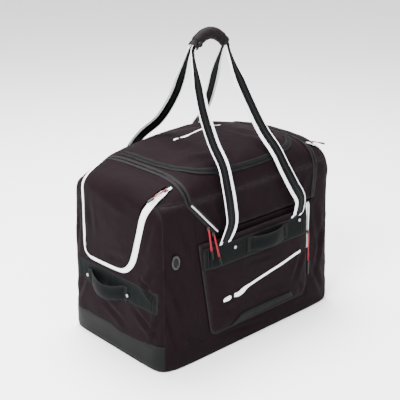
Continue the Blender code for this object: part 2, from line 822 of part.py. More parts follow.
def strap_route(side):
    """The strap's middle line, from its left foot up through the grip and down to its right foot."""
    foot = side * STRAP_FOOT_DEPTH
    if side < 0:
        left = [(-0.142, foot, STRAP_FOOT), (-0.122, foot - 0.003, 0.425), (-0.125, foot - 0.001, 0.480),
                (-0.125, -0.232, 0.540), (-0.118, -0.205, 0.595), (-0.115, -0.158, 0.655),
                (-0.106, -0.106, 0.740), (-0.088, -0.060, 0.825), (-0.066, -0.018, 0.882)]
        right = [(0.082, -0.018, 0.882), (0.072, -0.060, 0.825), (0.082, -0.106, 0.740),
                 (0.094, -0.158, 0.655), (0.108, -0.205, 0.595), (0.122, -0.232, 0.540),
                 (0.150, foot - 0.001, 0.480), (0.184, foot - 0.003, 0.425), (0.180, foot, STRAP_FOOT)]
    else:
        left = [(-0.142, foot, STRAP_FOOT), (-0.136, foot + 0.003, 0.425), (-0.132, foot + 0.001, 0.480),
                (-0.124, 0.232, 0.545), (-0.108, 0.190, 0.605), (-0.078, 0.132, 0.665),
                (-0.056, 0.086, 0.745), (-0.054, 0.048, 0.825), (-0.058, 0.018, 0.880)]
        right = [(0.086, 0.018, 0.880), (0.094, 0.048, 0.825), (0.108, 0.086, 0.745),
                 (0.122, 0.132, 0.665), (0.136, 0.190, 0.605), (0.148, 0.232, 0.545),
                 (0.164, foot + 0.001, 0.480), (0.170, foot + 0.003, 0.425), (0.165, foot, STRAP_FOOT)]
    inside = side * STRAP_APART
    grip = []
    for s in (-1.02, -0.5, 0.0, 0.5, 1.02):
        grip.append((GRIP_MIDDLE + s * GRIP_HALF, inside, grip_height(s)))
    return smooth_path(left + grip + right, 3)


def grip_height(s):
    return GRIP_TOP - GRIP_DROP * s * s


def strap_width(point):
    """Full webbing width on the legs, folded narrower where the strap enters the grip."""
    folded = min(max((point.z - STRAP_FOLD_FROM) / STRAP_FOLD_OVER, 0.0), 1.0)
    return STRAP_WIDTH + (STRAP_FOLDED - STRAP_WIDTH) * folded


def make_straps(webbing, cloth, plastic):
    for name, side in (("front_strap", -1), ("rear_strap", 1)):
        points = strap_route(side)
        normals = [Vector((0, side, 0)) for _ in points]
        centred = []
        for i, point in enumerate(points):
            tangent = (points[min(i + 1, len(points) - 1)] - points[max(i - 1, 0)]).normalized()
            facing = (normals[i] - tangent * normals[i].dot(tangent)).normalized()
            centred.append(point - facing * STRAP_THICK / 2)
        ribbon(name, centred, normals, [strap_width(p) for p in points], webbing, STRAP_THICK)
    for name, side in (("grip_front", -1), ("grip_rear", 1)):
        make_grip_half(name, side, cloth)
    end = Vector((GRIP_MIDDLE - GRIP_HALF * SNAP_PLACE, -GRIP_RADIUS - GAP * 3, grip_height(SNAP_PLACE)))
    disc("grip_snap", end, Vector((0, -1, 0)), SNAP_RADIUS, SNAP_THICK, plastic, sides=16)


def make_grip_half(name, side, cloth):
    """Half of the padded sleeve: a half ring swept along the arched grip."""
    outer, inner = [], []
    for s in span(-1.0, 1.0, 13):
        centre = Vector((GRIP_MIDDLE + s * GRIP_HALF, 0, grip_height(s)))
        along = Vector((GRIP_HALF, 0, -2 * GRIP_DROP * s)).normalized()
        up = Vector((0, 1, 0)).cross(along) * -1
        swell = 1.0 - GRIP_WAIST * s * s
        row_out, row_in = [], []
        for turn in span(GRIP_SPLIT, 180.0 - GRIP_SPLIT, 11):
            angle = math.radians(turn)
            direction = up * math.cos(angle) + Vector((0, side, 0)) * math.sin(angle)
            row_out.append(centre + direction * GRIP_RADIUS * swell)
            row_in.append(centre + direction * GRIP_BORE * swell)
        outer.append(row_out)
        inner.append(row_in)
    closed_grid(name, outer, inner, cloth)


# ---------------------------------------------------------------- zips

def block(name, centre, across, down, normal, size, material, taper=1.0):
    """A small bevelled block. size is (width, length, thickness), and taper narrows its lower end."""
    bm = bmesh.new()
    width, length, thick = size
    corners = []
    for lift in (0.0, thick):
        for end, scale in ((0.0, 1.0), (length, taper)):
            for edge in (-0.5, 0.5):
                spot = centre + across * edge * width * scale + down * end + normal * lift
                corners.append(bm.verts.new(spot))
    for loop in ((0, 1, 3, 2), (4, 5, 7, 6), (0, 1, 5, 4), (2, 3, 7, 6), (0, 2, 6, 4), (1, 3, 7, 5)):
        bm.faces.new([corners[i] for i in loop])
    bmesh.ops.recalc_face_normals(bm, faces=bm.faces)
    rounding = min(width, thick) * 0.22
    bmesh.ops.bevel(bm, geom=bm.edges[:], offset=rounding, segments=2, affect="EDGES", profile=0.5)
    mesh = bpy.data.meshes.new(name)
    bm.to_mesh(mesh)
    bm.free()
    return add_object(name, mesh, material)


def zip_frame(point, normal, down):
    """The directions across and down a slider that sits flat on the cloth."""
    down = (down - normal * down.dot(normal)).normalized()
    return down.cross(normal).normalized(), down


def main_zip_spot(name):
    """Where a main slider sits: beside the slanted edge of the lid's drop."""
    slant = Vector((hem_left(LID_FOLD) - hem_left(LID_HEM), 0, LID_FOLD - LID_HEM)).normalized()
    height = MAIN_ZIP_HEIGHTS[name]
    spot = Vector((hem_left(height), 0, height)) + Vector((-slant.z, 0, slant.x)) * MAIN_ZIP_STEP
    point = on_front(spot.x, spot.z)
    normal = outward(point)
    return point + normal * GAP * 2, normal, Vector((0, 0, -1))


def front_zip_spot():
    point = on_front(FRONT_ZIP_X, FRONT_ZIP_Z)
    normal = outward(point)
    return point + normal * (GAP * 2 + FRONT_TRIM_THICK), normal, Vector((0, 0, -1))


def end_zip_spot(side):
    points, _ = flap_edge_path(side)
    normal = outward(points[1])
    return points[1] + normal * END_ZIP_RISE, normal, points[3] - points[1]


def pull_axis(spot):
    """The bridge that a pull turns about: a point and a direction."""
    point, normal, down = spot
    across, down = zip_frame(*spot)
    return point + down * BRIDGE_DOWN + normal * (BRIDGE_RISE + CORD_THICK / 2), across


def make_slider(name, spot, lengths, metal, cord, tip, tilt=0.0):
    """A zip slider with its hinged pull: a red cord and a moulded tip. The pull leans out by tilt."""
    point, normal, _ = spot
    across, down = zip_frame(*spot)
    block(name + "_slider", point, across, down, normal, SLIDER_SIZE, metal)
    axis, _ = pull_axis(spot)
    hanging = down * math.cos(tilt) + normal * math.sin(tilt)
    facing = normal * math.cos(tilt) - down * math.sin(tilt)
    top = axis - facing * CORD_THICK / 2
    block(name + "_pull_cord", top, across, hanging, facing, (CORD_WIDTH, lengths[0], CORD_THICK), cord)
    tip_top = axis + hanging * (lengths[0] + GAP) - facing * TIP_THICK / 2
    tip_size = (TIP_WIDTH, lengths[1], TIP_THICK)
    block(name + "_pull_tip", tip_top, across, hanging, facing, tip_size, tip, TIP_TAPER)


def make_zips(tape, metal, cord, tip):
    for name in MAIN_ZIP_HEIGHTS:
        make_slider(name, main_zip_spot(name), MAIN_PULL, metal, cord, tip, MAIN_PULL_TILTS[name])
    make_slider("front_zip", front_zip_spot(), FRONT_PULL, metal, cord, tip)
    for word, side in (("left", -1), ("right", 1)):
        make_slider(word + "_zip", end_zip_spot(side), END_PULL, metal, cord, tip)

    turn, room = -0.195, 0.012
    points = [on_top(LID_LEFT, y) for y in span(LID_BACK, turn, 12)]
    points += [on_front(hem_left(z), z) for z in span(LID_FOLD, LID_HEM + 0.004, 6)]
    points += [on_front(x, LID_HEM) for x in span(HEM_LEFT + room, HEM_RIGHT - room, 10)]
    points += [on_front(hem_right(z), z) for z in span(LID_HEM + 0.004, LID_FOLD, 6)]
    points += [on_top(LID_RIGHT, y) for y in span(turn, LID_BACK, 12)]
    normals = [outward(p) for p in points]
    sunk = [p - n * ZIP_TAPE_SINK for p, n in zip(points, normals)]
    ribbon("main_zip_tape", sunk, normals, [ZIP_TAPE_WIDTH] * len(points), tape, ZIP_TAPE_THICK)


# ---------------------------------------------------------------- joint axes

def hang(axis_name, place, members):
    """Puts the members on an empty that stands on their joint's axis, without moving them."""
    axis = bpy.data.objects.new(axis_name, None)
    axis.empty_display_size = 0.02
    axis.location = place
    bpy.context.scene.collection.objects.link(axis)
    for name in members:
        obj = bpy.data.objects[name]
        obj.data.transform(Matrix.Translation(-place))
        obj.parent = axis
    return axis


def hang_moving_pieces():
    lid_axis = on_top(0, LID_BACK) + Vector((0, 0, HINGE_RISE))
    hang("lid_axis", lid_axis, ("lid_panel", "lid_drop", "lid_drop_binding", "lid_band"))
    foot = STRAP_FOOT_DEPTH
    hang("front_strap_axis", Vector((0, -foot, STRAP_FOOT)), ("front_strap", "grip_front", "grip_snap"))
    hang("rear_strap_axis", Vector((0, foot, STRAP_FOOT)), ("rear_strap", "grip_rear"))
    for name in MAIN_ZIP_HEIGHTS:
        spot = main_zip_spot(name)
        hang(name + "_slider_axis", spot[0], (name + "_slider",))
        hang(name + "_pull_axis", pull_axis(spot)[0], (name + "_pull_cord", name + "_pull_tip"))
    spot = front_zip_spot()
    hang("front_zip_slider_axis", spot[0], ("front_zip_slider",))
    hang("front_zip_pull_axis", pull_axis(spot)[0], ("front_zip_pull_cord", "front_zip_pull_tip"))
    for word, side in (("left", -1), ("right", 1)):
        flap_axis = on_top(side * FLAP_HINGE_X, 0) + Vector((0, 0, HINGE_RISE))
        hang(word + "_flap_axis", flap_axis, (word + "_pocket_flap",))
        place, _ = pull_axis(end_zip_spot(side))
        hang(word + "_zip_pull_axis", place, (word + "_zip_pull_cord", word + "_zip_pull_tip"))


clear_scene()
FABRIC_BLACK = finish("fabric", (0.028, 0.022, 0.025), 0.85)
TARP = finish("tarpaulin", (0.05, 0.052, 0.054), 0.55)
BOARD = finish("base_board", (0.02, 0.02, 0.02), 0.6)
TRIM_WHITE = finish("white_trim", (0.8, 0.8, 0.82), 0.5)
TRIM_GREY = finish("grey_trim", (0.6, 0.6, 0.62), 0.5)
WEBBING = finish("webbing", (0.022, 0.027, 0.027), 0.8)
PATCH = finish("rubber_patch", (0.02, 0.021, 0.021), 0.7)
METAL = finish("rivet_metal", (0.6, 0.6, 0.62), 0.35, 1.0)
CORD_RED = finish("pull_cord", (0.42, 0.03, 0.05), 0.5)
PULL_TIP = finish("pull_tip", (0.03, 0.03, 0.032), 0.45)
SLIDER_BLACK = finish("slider_metal", (0.05, 0.05, 0.052), 0.35, 0.9)
STRAP = finish("strap_webbing", (0.05, 0.052, 0.052), 0.75)
MESH_CLOTH = finish("vent_mesh", (0.03, 0.03, 0.03), 0.8)

make_base(TARP, BOARD)
make_long_walls(FABRIC_BLACK)
make_ends(FABRIC_BLACK, TARP, TRIM_WHITE)
make_lid(FABRIC_BLACK, WEBBING, TRIM_GREY)
make_front_pocket(FABRIC_BLACK, TRIM_WHITE, PATCH)
make_vent(WEBBING, MESH_CLOTH)
make_haul_handles(WEBBING, METAL)
make_straps(STRAP, FABRIC_BLACK, PULL_TIP)
make_zips(WEBBING, SLIDER_BLACK, CORD_RED, PULL_TIP)
hang_moving_pieces()
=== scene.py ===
"""Looks of the hockey equipment bag: its sewn cloth, webbing, trims, zips and padded grip."""

import json
import math
from functools import partial

import bpy
import numpy as np
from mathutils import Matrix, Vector, noise


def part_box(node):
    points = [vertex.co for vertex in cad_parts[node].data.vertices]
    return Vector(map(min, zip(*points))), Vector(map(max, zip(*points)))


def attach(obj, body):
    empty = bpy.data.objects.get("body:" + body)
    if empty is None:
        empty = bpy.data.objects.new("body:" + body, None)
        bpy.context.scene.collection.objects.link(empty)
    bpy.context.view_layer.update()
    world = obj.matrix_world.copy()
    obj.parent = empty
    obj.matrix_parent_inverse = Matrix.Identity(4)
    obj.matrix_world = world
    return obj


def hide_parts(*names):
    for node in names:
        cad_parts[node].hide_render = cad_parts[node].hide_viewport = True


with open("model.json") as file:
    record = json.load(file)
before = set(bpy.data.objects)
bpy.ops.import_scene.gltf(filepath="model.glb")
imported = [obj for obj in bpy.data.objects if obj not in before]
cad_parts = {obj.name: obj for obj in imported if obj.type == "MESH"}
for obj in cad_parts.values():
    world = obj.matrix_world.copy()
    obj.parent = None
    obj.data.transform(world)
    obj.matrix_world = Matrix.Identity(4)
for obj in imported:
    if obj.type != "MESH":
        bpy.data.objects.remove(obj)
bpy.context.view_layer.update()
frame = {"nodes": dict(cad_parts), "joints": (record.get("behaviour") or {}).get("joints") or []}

NODES = frame["nodes"]
JOINTS = {joint["name"]: joint for joint in frame["joints"]}

# Body: a tapered box with rounded corners, and an arched top above the shoulder.
HALF_LENGTH = 0.388
HALF_DEPTH = 0.234
END_TAPER = 0.0105
SIDE_TAPER = 0.0135
SHOULDER = 0.44
ARCH_HEIGHT = 0.186
ARCH_MIDDLE = 0.03
ARCH_FALL = 0.55
CORNER_POWER = 12
ARCH_POWER = 3.8
CORNER_SPLIT = 0.944
TURN_HEIGHT = 0.41
BAG_MIDDLE = 0.30

# Cloth thickness, seams and heights.
CLOTH = 0.0032
SEAM = 0.0005
FLOOR_LEVEL = 0.0045
TARP_TOP = 0.086
LID_HEM = 0.402
LID_FOLD = 0.514
PANEL_TOP = 0.520
TOP_SEAM = PANEL_TOP + 0.0012
LID_LEFT = -0.266
LID_RIGHT = 0.288
LID_BACK = 0.165
HEM_LEFT = -0.162
HEM_RIGHT = 0.272
NOTCH_LOW = 0.396
LID_LIFT = 0.004

# End pockets, front pocket, haul bands and straps.
FLAP_OUTLINE = [(-0.152, 0.546), (-0.132, 0.478), (-0.111, 0.410), (-0.094, 0.355), (-0.079, 0.321),
                (-0.054, 0.296), (-0.015, 0.286), (0.100, 0.283), (0.126, 0.290), (0.138, 0.311),
                (0.139, 0.460), (0.145, 0.546)]
FLAP_FRONT_TOP = -0.164
FLAP_BACK_TOP = 0.160
FLAP_HINGE_X = 0.296
FLAP_ABOVE = 0.70
TRIM_TURNS = (57, 36)
TRIM_BROAD = 0.022
TRIM_NARROW = 0.009
TRIM_TAPER = 0.055
TRIM_FRONT_SHARE = 0.30
POCKET_LEFT = -0.235
POCKET_RIGHT = 0.236
POCKET_LOW = 0.067
POCKET_TOP = 0.380
POCKET_SLANT = 0.044
POCKET_FULL = 0.014
FRONT_ZIP_X = 0.250
BAND_LIFT = 0.0020
TAPE = 0.0018
HAUL_HEIGHT = 0.070
LOOP_HEIGHT = 0.048
LOOP_TAIL = 0.020
STRAP_WIDTH = 0.046
STRAP_FOLDED = 0.018
STRAP_THICK = 0.0026
STRAP_FOOT = 0.376
STRAP_FOOT_DEPTH = 0.2460
GRIP_MIDDLE = 0.0155
GRIP_HALF = 0.066
GRIP_TOP = 0.941
GRIP_DROP = 0.034
GRIP_RADIUS = 0.019


# ---------------------------------------------------------------- shape of the bag

def half_length(z):
    return HALF_LENGTH - END_TAPER * np.minimum(z, SHOULDER) / SHOULDER


def half_depth(z):
    return HALF_DEPTH - SIDE_TAPER * np.minimum(z, SHOULDER) / SHOULDER


def arch_height(x):
    return ARCH_HEIGHT - ARCH_FALL * (x - ARCH_MIDDLE) ** 2


def beyond(points):
    """Below zero inside the bag and above zero outside it."""
    x, y, z = points[..., 0], points[..., 1], points[..., 2]
    floor = np.maximum(z, 0.0)
    along = np.abs(x) / half_length(floor)
    across = np.abs(y) / half_depth(floor)
    rise = np.maximum(z - SHOULDER, 0.0) / np.maximum(arch_height(x), 0.05)
    section = across ** ARCH_POWER + rise ** ARCH_POWER
    return section ** (CORNER_POWER / ARCH_POWER) + along ** CORNER_POWER - 1.0


def skin(origin, direction):
    """Where lines from inside the bag meet its skin."""
    direction = unit(direction)
    low = np.zeros(origin.shape[:-1])
    high = low + 0.9
    for _ in range(36):
        middle = (low + high) / 2
        outside = beyond(origin + direction * middle[..., None]) > 0
        high = np.where(outside, middle, high)
        low = np.where(outside, low, middle)
    return origin + direction * low[..., None]


def outward(points):
    """The skin's outward direction."""
    step = 0.0005
    slope = []
    for axis in range(3):
        shift = np.zeros(3)
        shift[axis] = step
        slope.append(beyond(points + shift) - beyond(points - shift))
    return unit(np.stack(slope, axis=-1))


def vectors(x, y, z):
    """Points or directions from their three parts, each an array or one number."""
    return np.stack(np.broadcast_arrays(x, y, z), axis=-1).astype(float)


def unit(directions):
    return directions / np.linalg.norm(directions, axis=-1, keepdims=True)


def square_to(directions, others):
    """The directions turned square to the others, one by one."""
    return unit(directions - others * np.sum(directions * others, axis=1, keepdims=True))


def run_along(points):
    """The length along a path up to each of its points."""
    return np.concatenate(([0.0], np.cumsum(np.linalg.norm(np.diff(points, axis=0), axis=1))))


def on_front(x, z, side=-1):
    return skin(vectors(x, 0.0, z), np.array((0.0, side, 0.0)))


def on_end(side, y, z):
    return skin(vectors(0.0, y, z), np.array((side, 0.0, 0.0)))


def on_top(x, y):
    return skin(vectors(x, y, BAG_MIDDLE), np.array((0.0, 0.0, 1.0)))


def over_end(side, y, angle):
    """The skin over an end's shoulder: angle 0 points out along X, and 90 points up."""
    turn = np.radians(angle)
    return skin(vectors(side * 0.20, y, 0.42), vectors(side * np.cos(turn), 0.0, np.sin(turn)))


def by_turn(x, turn):
    return skin(vectors(x, 0.0, TURN_HEIGHT), vectors(0.0, np.sin(turn), np.cos(turn)))


def turn_at_height(x, z, side):
    point = on_front(x, z, side)
    return np.arctan2(point[..., 1], point[..., 2] - TURN_HEIGHT)


def turn_at_depth(x, y):
    point = on_top(x, y)
    return np.arctan2(point[..., 1], point[..., 2] - TURN_HEIGHT)


def hem_left(z):
    return HEM_LEFT + (LID_LEFT - HEM_LEFT) * (z - LID_HEM) / (LID_FOLD - LID_HEM)


def hem_right(z):
    return HEM_RIGHT + (LID_RIGHT - HEM_RIGHT) * (z - LID_HEM) / (LID_FOLD - LID_HEM)


def end_height(side, y):
    """Height of an end wall's top seam."""
    room = (1 - CORNER_SPLIT ** CORNER_POWER) ** (ARCH_POWER / CORNER_POWER)
    across = np.abs(y) / half_depth(SHOULDER)
    left = np.maximum(room - across ** ARCH_POWER, 0.0) ** (1 / ARCH_POWER)
    return SHOULDER + arch_height(side * CORNER_SPLIT * half_length(SHOULDER)) * left


def lerp(a, b, share):
    return a + (b - a) * share


def across_path(points, normals):
    """The directions that run over the cloth square to a path."""
    return unit(np.cross(normals, np.gradient(points, axis=0)))


def from_edge(s, t, size):
    """How far each spot of a sheet is from its nearest edge; s and t run from 0 to 1 over its size."""
    return np.minimum(np.minimum(s, 1 - s) * size[0], np.minimum(t, 1 - t) * size[1])


def crowd(share):
    """Shares from 0 to 1 that crowd towards both ends, where the corners turn."""
    return 0.5 - 0.5 * np.cos(np.pi * share)


def smooth_path(points, steps):
    """A smooth curve through the points, with this many stretches between each pair."""
    points = np.array(points, float)
    path = []
    for i in range(len(points) - 1):
        p0, p1, p2 = points[max(i - 1, 0)], points[i], points[i + 1]
        p3 = points[min(i + 2, len(points) - 1)]
        for step in range(steps):
            t = step / steps
            path.append(0.5 * (2 * p1 + (p2 - p0) * t + (2 * p0 - 5 * p1 + 4 * p2 - p3) * t ** 2
                               + (3 * p1 - p0 - 3 * p2 + p3) * t ** 3))
    return np.array(path + [points[-1]])


# ---------------------------------------------------------------- how the cloth lies

FOLD_DEPTH = 1.35


def uneven(points, size, depth, seed):
    """Soft hollows and swells of filled cloth, about this far apart."""
    offset = Vector((seed * 3.7, seed * 1.3, seed * 2.1))
    return depth * np.array([noise.noise(Vector(p) / size + offset) for p in points.reshape(-1, 3)])


def crease(points, start, end, width, depth):
    """A fold pressed into the cloth between two points, with a soft ridge beside it."""
    start, end = np.array(start), np.array(end)
    run = end - start
    share = np.clip(((points - start) @ run) / (run @ run), 0, 1)
    away = np.linalg.norm(points - (start + share[:, None] * run), axis=1) / width
    fade = np.sin(np.pi * (0.04 + 0.92 * share)) ** 0.7
    return depth * fade * (0.6 * np.exp(-1.3 * (away - 1.8) ** 2) - np.exp(-away ** 2))


TOP_CREASES = [
    ((-0.24, -0.10, 0.60), (-0.05, -0.17, 0.58), 0.016, 0.0030),
    ((0.10, -0.02, 0.63), (0.16, -0.19, 0.57), 0.020, 0.0035),
    ((-0.16, 0.10, 0.61), (-0.10, -0.12, 0.60), 0.024, 0.0030),
    ((0.22, 0.02, 0.61), (0.27, -0.18, 0.56), 0.015, 0.0028),
    ((-0.31, -0.02, 0.59), (-0.34, 0.10, 0.57), 0.014, 0.0030),
    ((-0.02, 0.12, 0.62), (0.14, 0.05, 0.63), 0.018, 0.0024),
]
FRONT_CREASES = [
    ((-0.34, -0.22, 0.30), (-0.30, -0.23, 0.16), 0.011, 0.0040),
    ((-0.36, -0.21, 0.22), (-0.33, -0.23, 0.08), 0.010, 0.0042),
    ((-0.31, -0.23, 0.13), (-0.25, -0.23, 0.05), 0.010, 0.0032),
    ((-0.30, -0.22, 0.47), (-0.26, -0.22, 0.36), 0.013, 0.0030),
    ((-0.35, -0.21, 0.42), (-0.29, -0.22, 0.33), 0.011, 0.0026),
    ((0.29, -0.22, 0.36), (0.33, -0.22, 0.20), 0.013, 0.0036),
    ((0.34, -0.21, 0.30), (0.30, -0.23, 0.12), 0.011, 0.0030),
    ((-0.16, -0.23, 0.055), (0.05, -0.23, 0.03), 0.009, 0.0020),
    ((0.28, -0.23, 0.16), (0.34, -0.22, 0.05), 0.011, 0.0032),
]
END_CREASES = [
    ((-0.37, -0.13, 0.285), (-0.37, -0.20, 0.235), 0.009, 0.0040),
    ((-0.37, -0.20, 0.34), (-0.37, -0.15, 0.26), 0.010, 0.0034),
    ((-0.38, -0.10, 0.18), (-0.38, -0.20, 0.12), 0.010, 0.0034),
    ((-0.38, -0.21, 0.20), (-0.38, -0.18, 0.09), 0.009, 0.0036),
    ((-0.38, 0.06, 0.15), (-0.38, -0.06, 0.11), 0.011, 0.0026),
    ((-0.38, 0.15, 0.20), (-0.38, 0.20, 0.11), 0.011, 0.0030),
    ((-0.37, 0.17, 0.42), (-0.37, 0.19, 0.28), 0.010, 0.0026),
    ((-0.37, -0.19, 0.50), (-0.37, -0.15, 0.38), 0.010, 0.0026),
]
POCKET_CREASES = [
    ((-0.21, -0.24, 0.28), (-0.14, -0.25, 0.22), 0.012, 0.0034),
    ((-0.19, -0.24, 0.15), (-0.10, -0.25, 0.13), 0.012, 0.0032),
    ((0.22, -0.24, 0.24), (0.17, -0.25, 0.14), 0.012, 0.0034),
    ((0.00, -0.25, 0.165), (0.12, -0.25, 0.145), 0.012, 0.0024),
    ((0.19, -0.24, 0.12), (0.22, -0.24, 0.075), 0.010, 0.0026),
    ((-0.05, -0.25, 0.27), (0.07, -0.25, 0.262), 0.009, 0.0020),
]


def relief(points, creases, seed, swell, seen_along, mirror=False):
    """Swells and folds. seen_along is the axis that the folds' places are read along, 0 to 2."""
    flat = points.reshape(-1, 3)
    lie = uneven(flat, 0.16, swell, seed) + uneven(flat, 0.055, swell * 0.45, seed + 3)
    lie += uneven(flat, 0.022, swell * 0.14, seed + 5)
    keep = np.ones(3)
    keep[seen_along] = 0.0
    spots = flat * (np.array((-1, 1, 1)) if mirror else 1.0) * keep
    for start, end, width, depth in creases:
        lie += crease(spots, np.array(start) * keep, np.array(end) * keep, width, depth * FOLD_DEPTH)
    return lie.reshape(points.shape[:-1])


def top_relief(points):
    return relief(points, TOP_CREASES, 1, 0.0050, 2)


def front_relief(points):
    """The front wall: under the pocket it only sinks, so that the pocket stays in front of it."""
    lie = relief(points, FRONT_CREASES, 2, 0.0044, 1)
    x, z = points[..., 0], points[..., 2]
    under = (x > POCKET_LEFT - 0.01) & (x < POCKET_RIGHT + 0.02) & (z > POCKET_LOW - 0.01) & (z < 0.53)
    return np.where(under, np.minimum(lie, 0.0) * 0.3 - 0.0012, lie - 0.0006)


def back_relief(points):
    return relief(points, FRONT_CREASES, 4, 0.0044, 1) - 0.0006


def end_relief(points):
    return relief(points, END_CREASES, 6, 0.0036, 0, mirror=points[..., 0].mean() > 0) - 0.0010


def pocket_left(z):
    return POCKET_LEFT + POCKET_SLANT * (POCKET_TOP - z) / (POCKET_TOP - POCKET_LOW)


def pocket_lift(x, z):
    """How far the front pocket stands off the panel: full in the middle, sewn down at the edges."""
    across = (x - pocket_left(z)) / (POCKET_RIGHT - pocket_left(z))
    up = (z - POCKET_LOW) / (POCKET_TOP - POCKET_LOW)
    left = np.clip(across / 0.18, 0, 1)
    right = 0.55 + 0.45 * np.clip((1 - across) / 0.18, 0, 1)
    low = np.clip(up / 0.12, 0, 1)
    high = 0.35 + 0.65 * np.clip((1 - up) / 0.12, 0, 1)
    return 0.0021 + POCKET_FULL * np.sin(left * right * low * high * np.pi / 2)


def pocket_relief(points):
    return relief(points, POCKET_CREASES, 8, 0.0034, 1) * 0.8


def on_pocket(x, z):
    """Points on the outside of the front pocket, with its folds, and their outward directions."""
    points = on_front(x, z)
    normals = outward(points)
    share = np.clip((pocket_lift(x, z) - 0.0021) / 0.006, 0, 1)
    lie = pocket_lift(x, z) + pocket_relief(points) * share
    return points + normals * lie[..., None], normals


def drop_lift(z):
    """The lid's drop stands a little off the front wall towards its hem."""
    fallen = np.clip((LID_FOLD - z) / (LID_FOLD - LID_HEM), 0, 1)
    return LID_LIFT * fallen ** 0.7


# ---------------------------------------------------------------- making pieces

def deselect():
    for obj in list(bpy.context.selected_objects):
        obj.select_set(False)


def make_active(piece):
    deselect()
    bpy.context.view_layer.objects.active = piece
    piece.select_set(True)


def points_of(piece):
    values = np.empty(len(piece.data.vertices) * 3, np.float32)
    piece.data.vertices.foreach_get("co", values)
    return values.reshape(-1, 3).astype(float)


def put_points(piece, points):
    piece.data.vertices.foreach_set("co", np.asarray(points, np.float32).ravel())
    piece.data.update()


def refinish(node, material):
    """Gives a node that shows as it is its finish."""
    NODES[node].data.materials.clear()
    NODES[node].data.materials.append(material)


def apply(piece, kind, **settings):
    """Adds one modifier with its settings and applies it."""
    make_active(piece)
    modifier = piece.modifiers.new(kind.lower(), kind)
    for name, value in settings.items():
        setattr(modifier, name, value)
    bpy.ops.object.modifier_apply(modifier=modifier.name)


def flat_grid(name, across, up):
    """A flat grid over 0 to 1 each way."""
    deselect()
    bpy.ops.mesh.primitive_grid_add(x_subdivisions=across, y_subdivisions=up, size=1, location=(0.5, 0.5, 0))
    piece = bpy.context.object
    piece.name = name
    piece.data.name = name
    bpy.ops.object.transform_apply(location=True, rotation=False, scale=False)
    return piece


def lay_grid(name, across, up, place, size, gap=None):
    """A grid laid over the bag. place(s, t) gives its points, and size is its real width and height, for the
    weave. Faces where gap(s, t) holds are left out."""
    piece = flat_grid(name, across, up)
    if gap is not None:
        bpy.ops.object.mode_set(mode="EDIT")
        bpy.ops.mesh.select_mode(type="FACE")
        bpy.ops.mesh.select_all(action="DESELECT")
        bpy.ops.object.mode_set(mode="OBJECT")
        for polygon in piece.data.polygons:
            polygon.select = bool(gap(polygon.center.x, polygon.center.y))
        bpy.ops.object.mode_set(mode="EDIT")
        bpy.ops.mesh.delete(type="FACE")
        bpy.ops.object.mode_set(mode="OBJECT")
    s, t, _ = points_of(piece).T
    put_points(piece, place(s, t))
    mesh = piece.data
    corners = np.empty(len(mesh.loops), np.int32)
    mesh.loops.foreach_get("vertex_index", corners)
    spread = np.stack((s[corners] * size[0], t[corners] * size[1]), axis=1)
    mesh.uv_layers.active.data.foreach_set("uv", spread.astype(np.float32).ravel())
    mask = mesh.attributes.new("seam_wear", "FLOAT", "POINT")
    mask.data.foreach_set("value", np.exp(-from_edge(s, t, size) / 0.006).astype(np.float32))
    return piece


def tuck(s, t, size, depth=0.0016):
    """Cloth drawn down into the seam along its edges, and puckered beside it."""
    edge = from_edge(s, t, size)
    run = s * size[0] + t * size[1]
    pucker = 0.00045 * np.sin(run * math.tau / 0.017) * np.exp(-edge / 0.012) * (1 - np.exp(-edge / 0.003))
    return -depth * np.exp(-edge / 0.0035) + pucker


def face_out(piece):
    """Turns the faces of an open sheet so that they look away from the middle of the bag."""
    mesh = piece.data
    polygon = mesh.polygons[len(mesh.polygons) // 2]
    middle = np.array((0.0, 0.0, BAG_MIDDLE))
    if np.dot(np.array(polygon.normal), np.array(polygon.center) - middle) < 0:
        mesh.flip_normals()


def thicken(piece, thick, offset=-1.0):
    apply(piece, "SOLIDIFY", thickness=thick, offset=offset, use_even_offset=False)


def dress(piece, material, body, slot, *nodes):
    """Gives a piece its finish and its body, and hides the nodes that it stands for. The slot is not used."""
    piece.data.materials.clear()
    piece.data.materials.append(material)
    piece.data.shade_smooth()
    piece.data.set_sharp_from_angle(angle=math.radians(50))
    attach(piece, body)
    if nodes:
        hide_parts(*nodes)
    return piece


def cloth_sheet(name, across, up, place, size, material, body, slot, node, lie, thick=CLOTH, tucked=0.0016,
                gap=None):
    """A sewn panel: skin points from place, its folds, its tucked seams and its thickness."""
    def placed(s, t):
        points = place(s, t)
        lift = tuck(s, t, size, tucked) + lie(points) * np.clip(from_edge(s, t, size) / 0.012, 0.12, 1)
        return points + outward(points) * lift[:, None]

    piece = lay_grid(name, across, up, placed, size, gap)
    face_out(piece)
    thicken(piece, thick)
    return dress(piece, material, body, slot, node)


def sewn_on(name, across, up, place, size, thick, material, slot, node):
    """A sheet sewn flat on the bag's body: place(s, t) gives its inner points."""
    piece = lay_grid(name, across, up, place, size)
    face_out(piece)
    thicken(piece, thick)
    return dress(piece, material, "bag_body", slot, node)


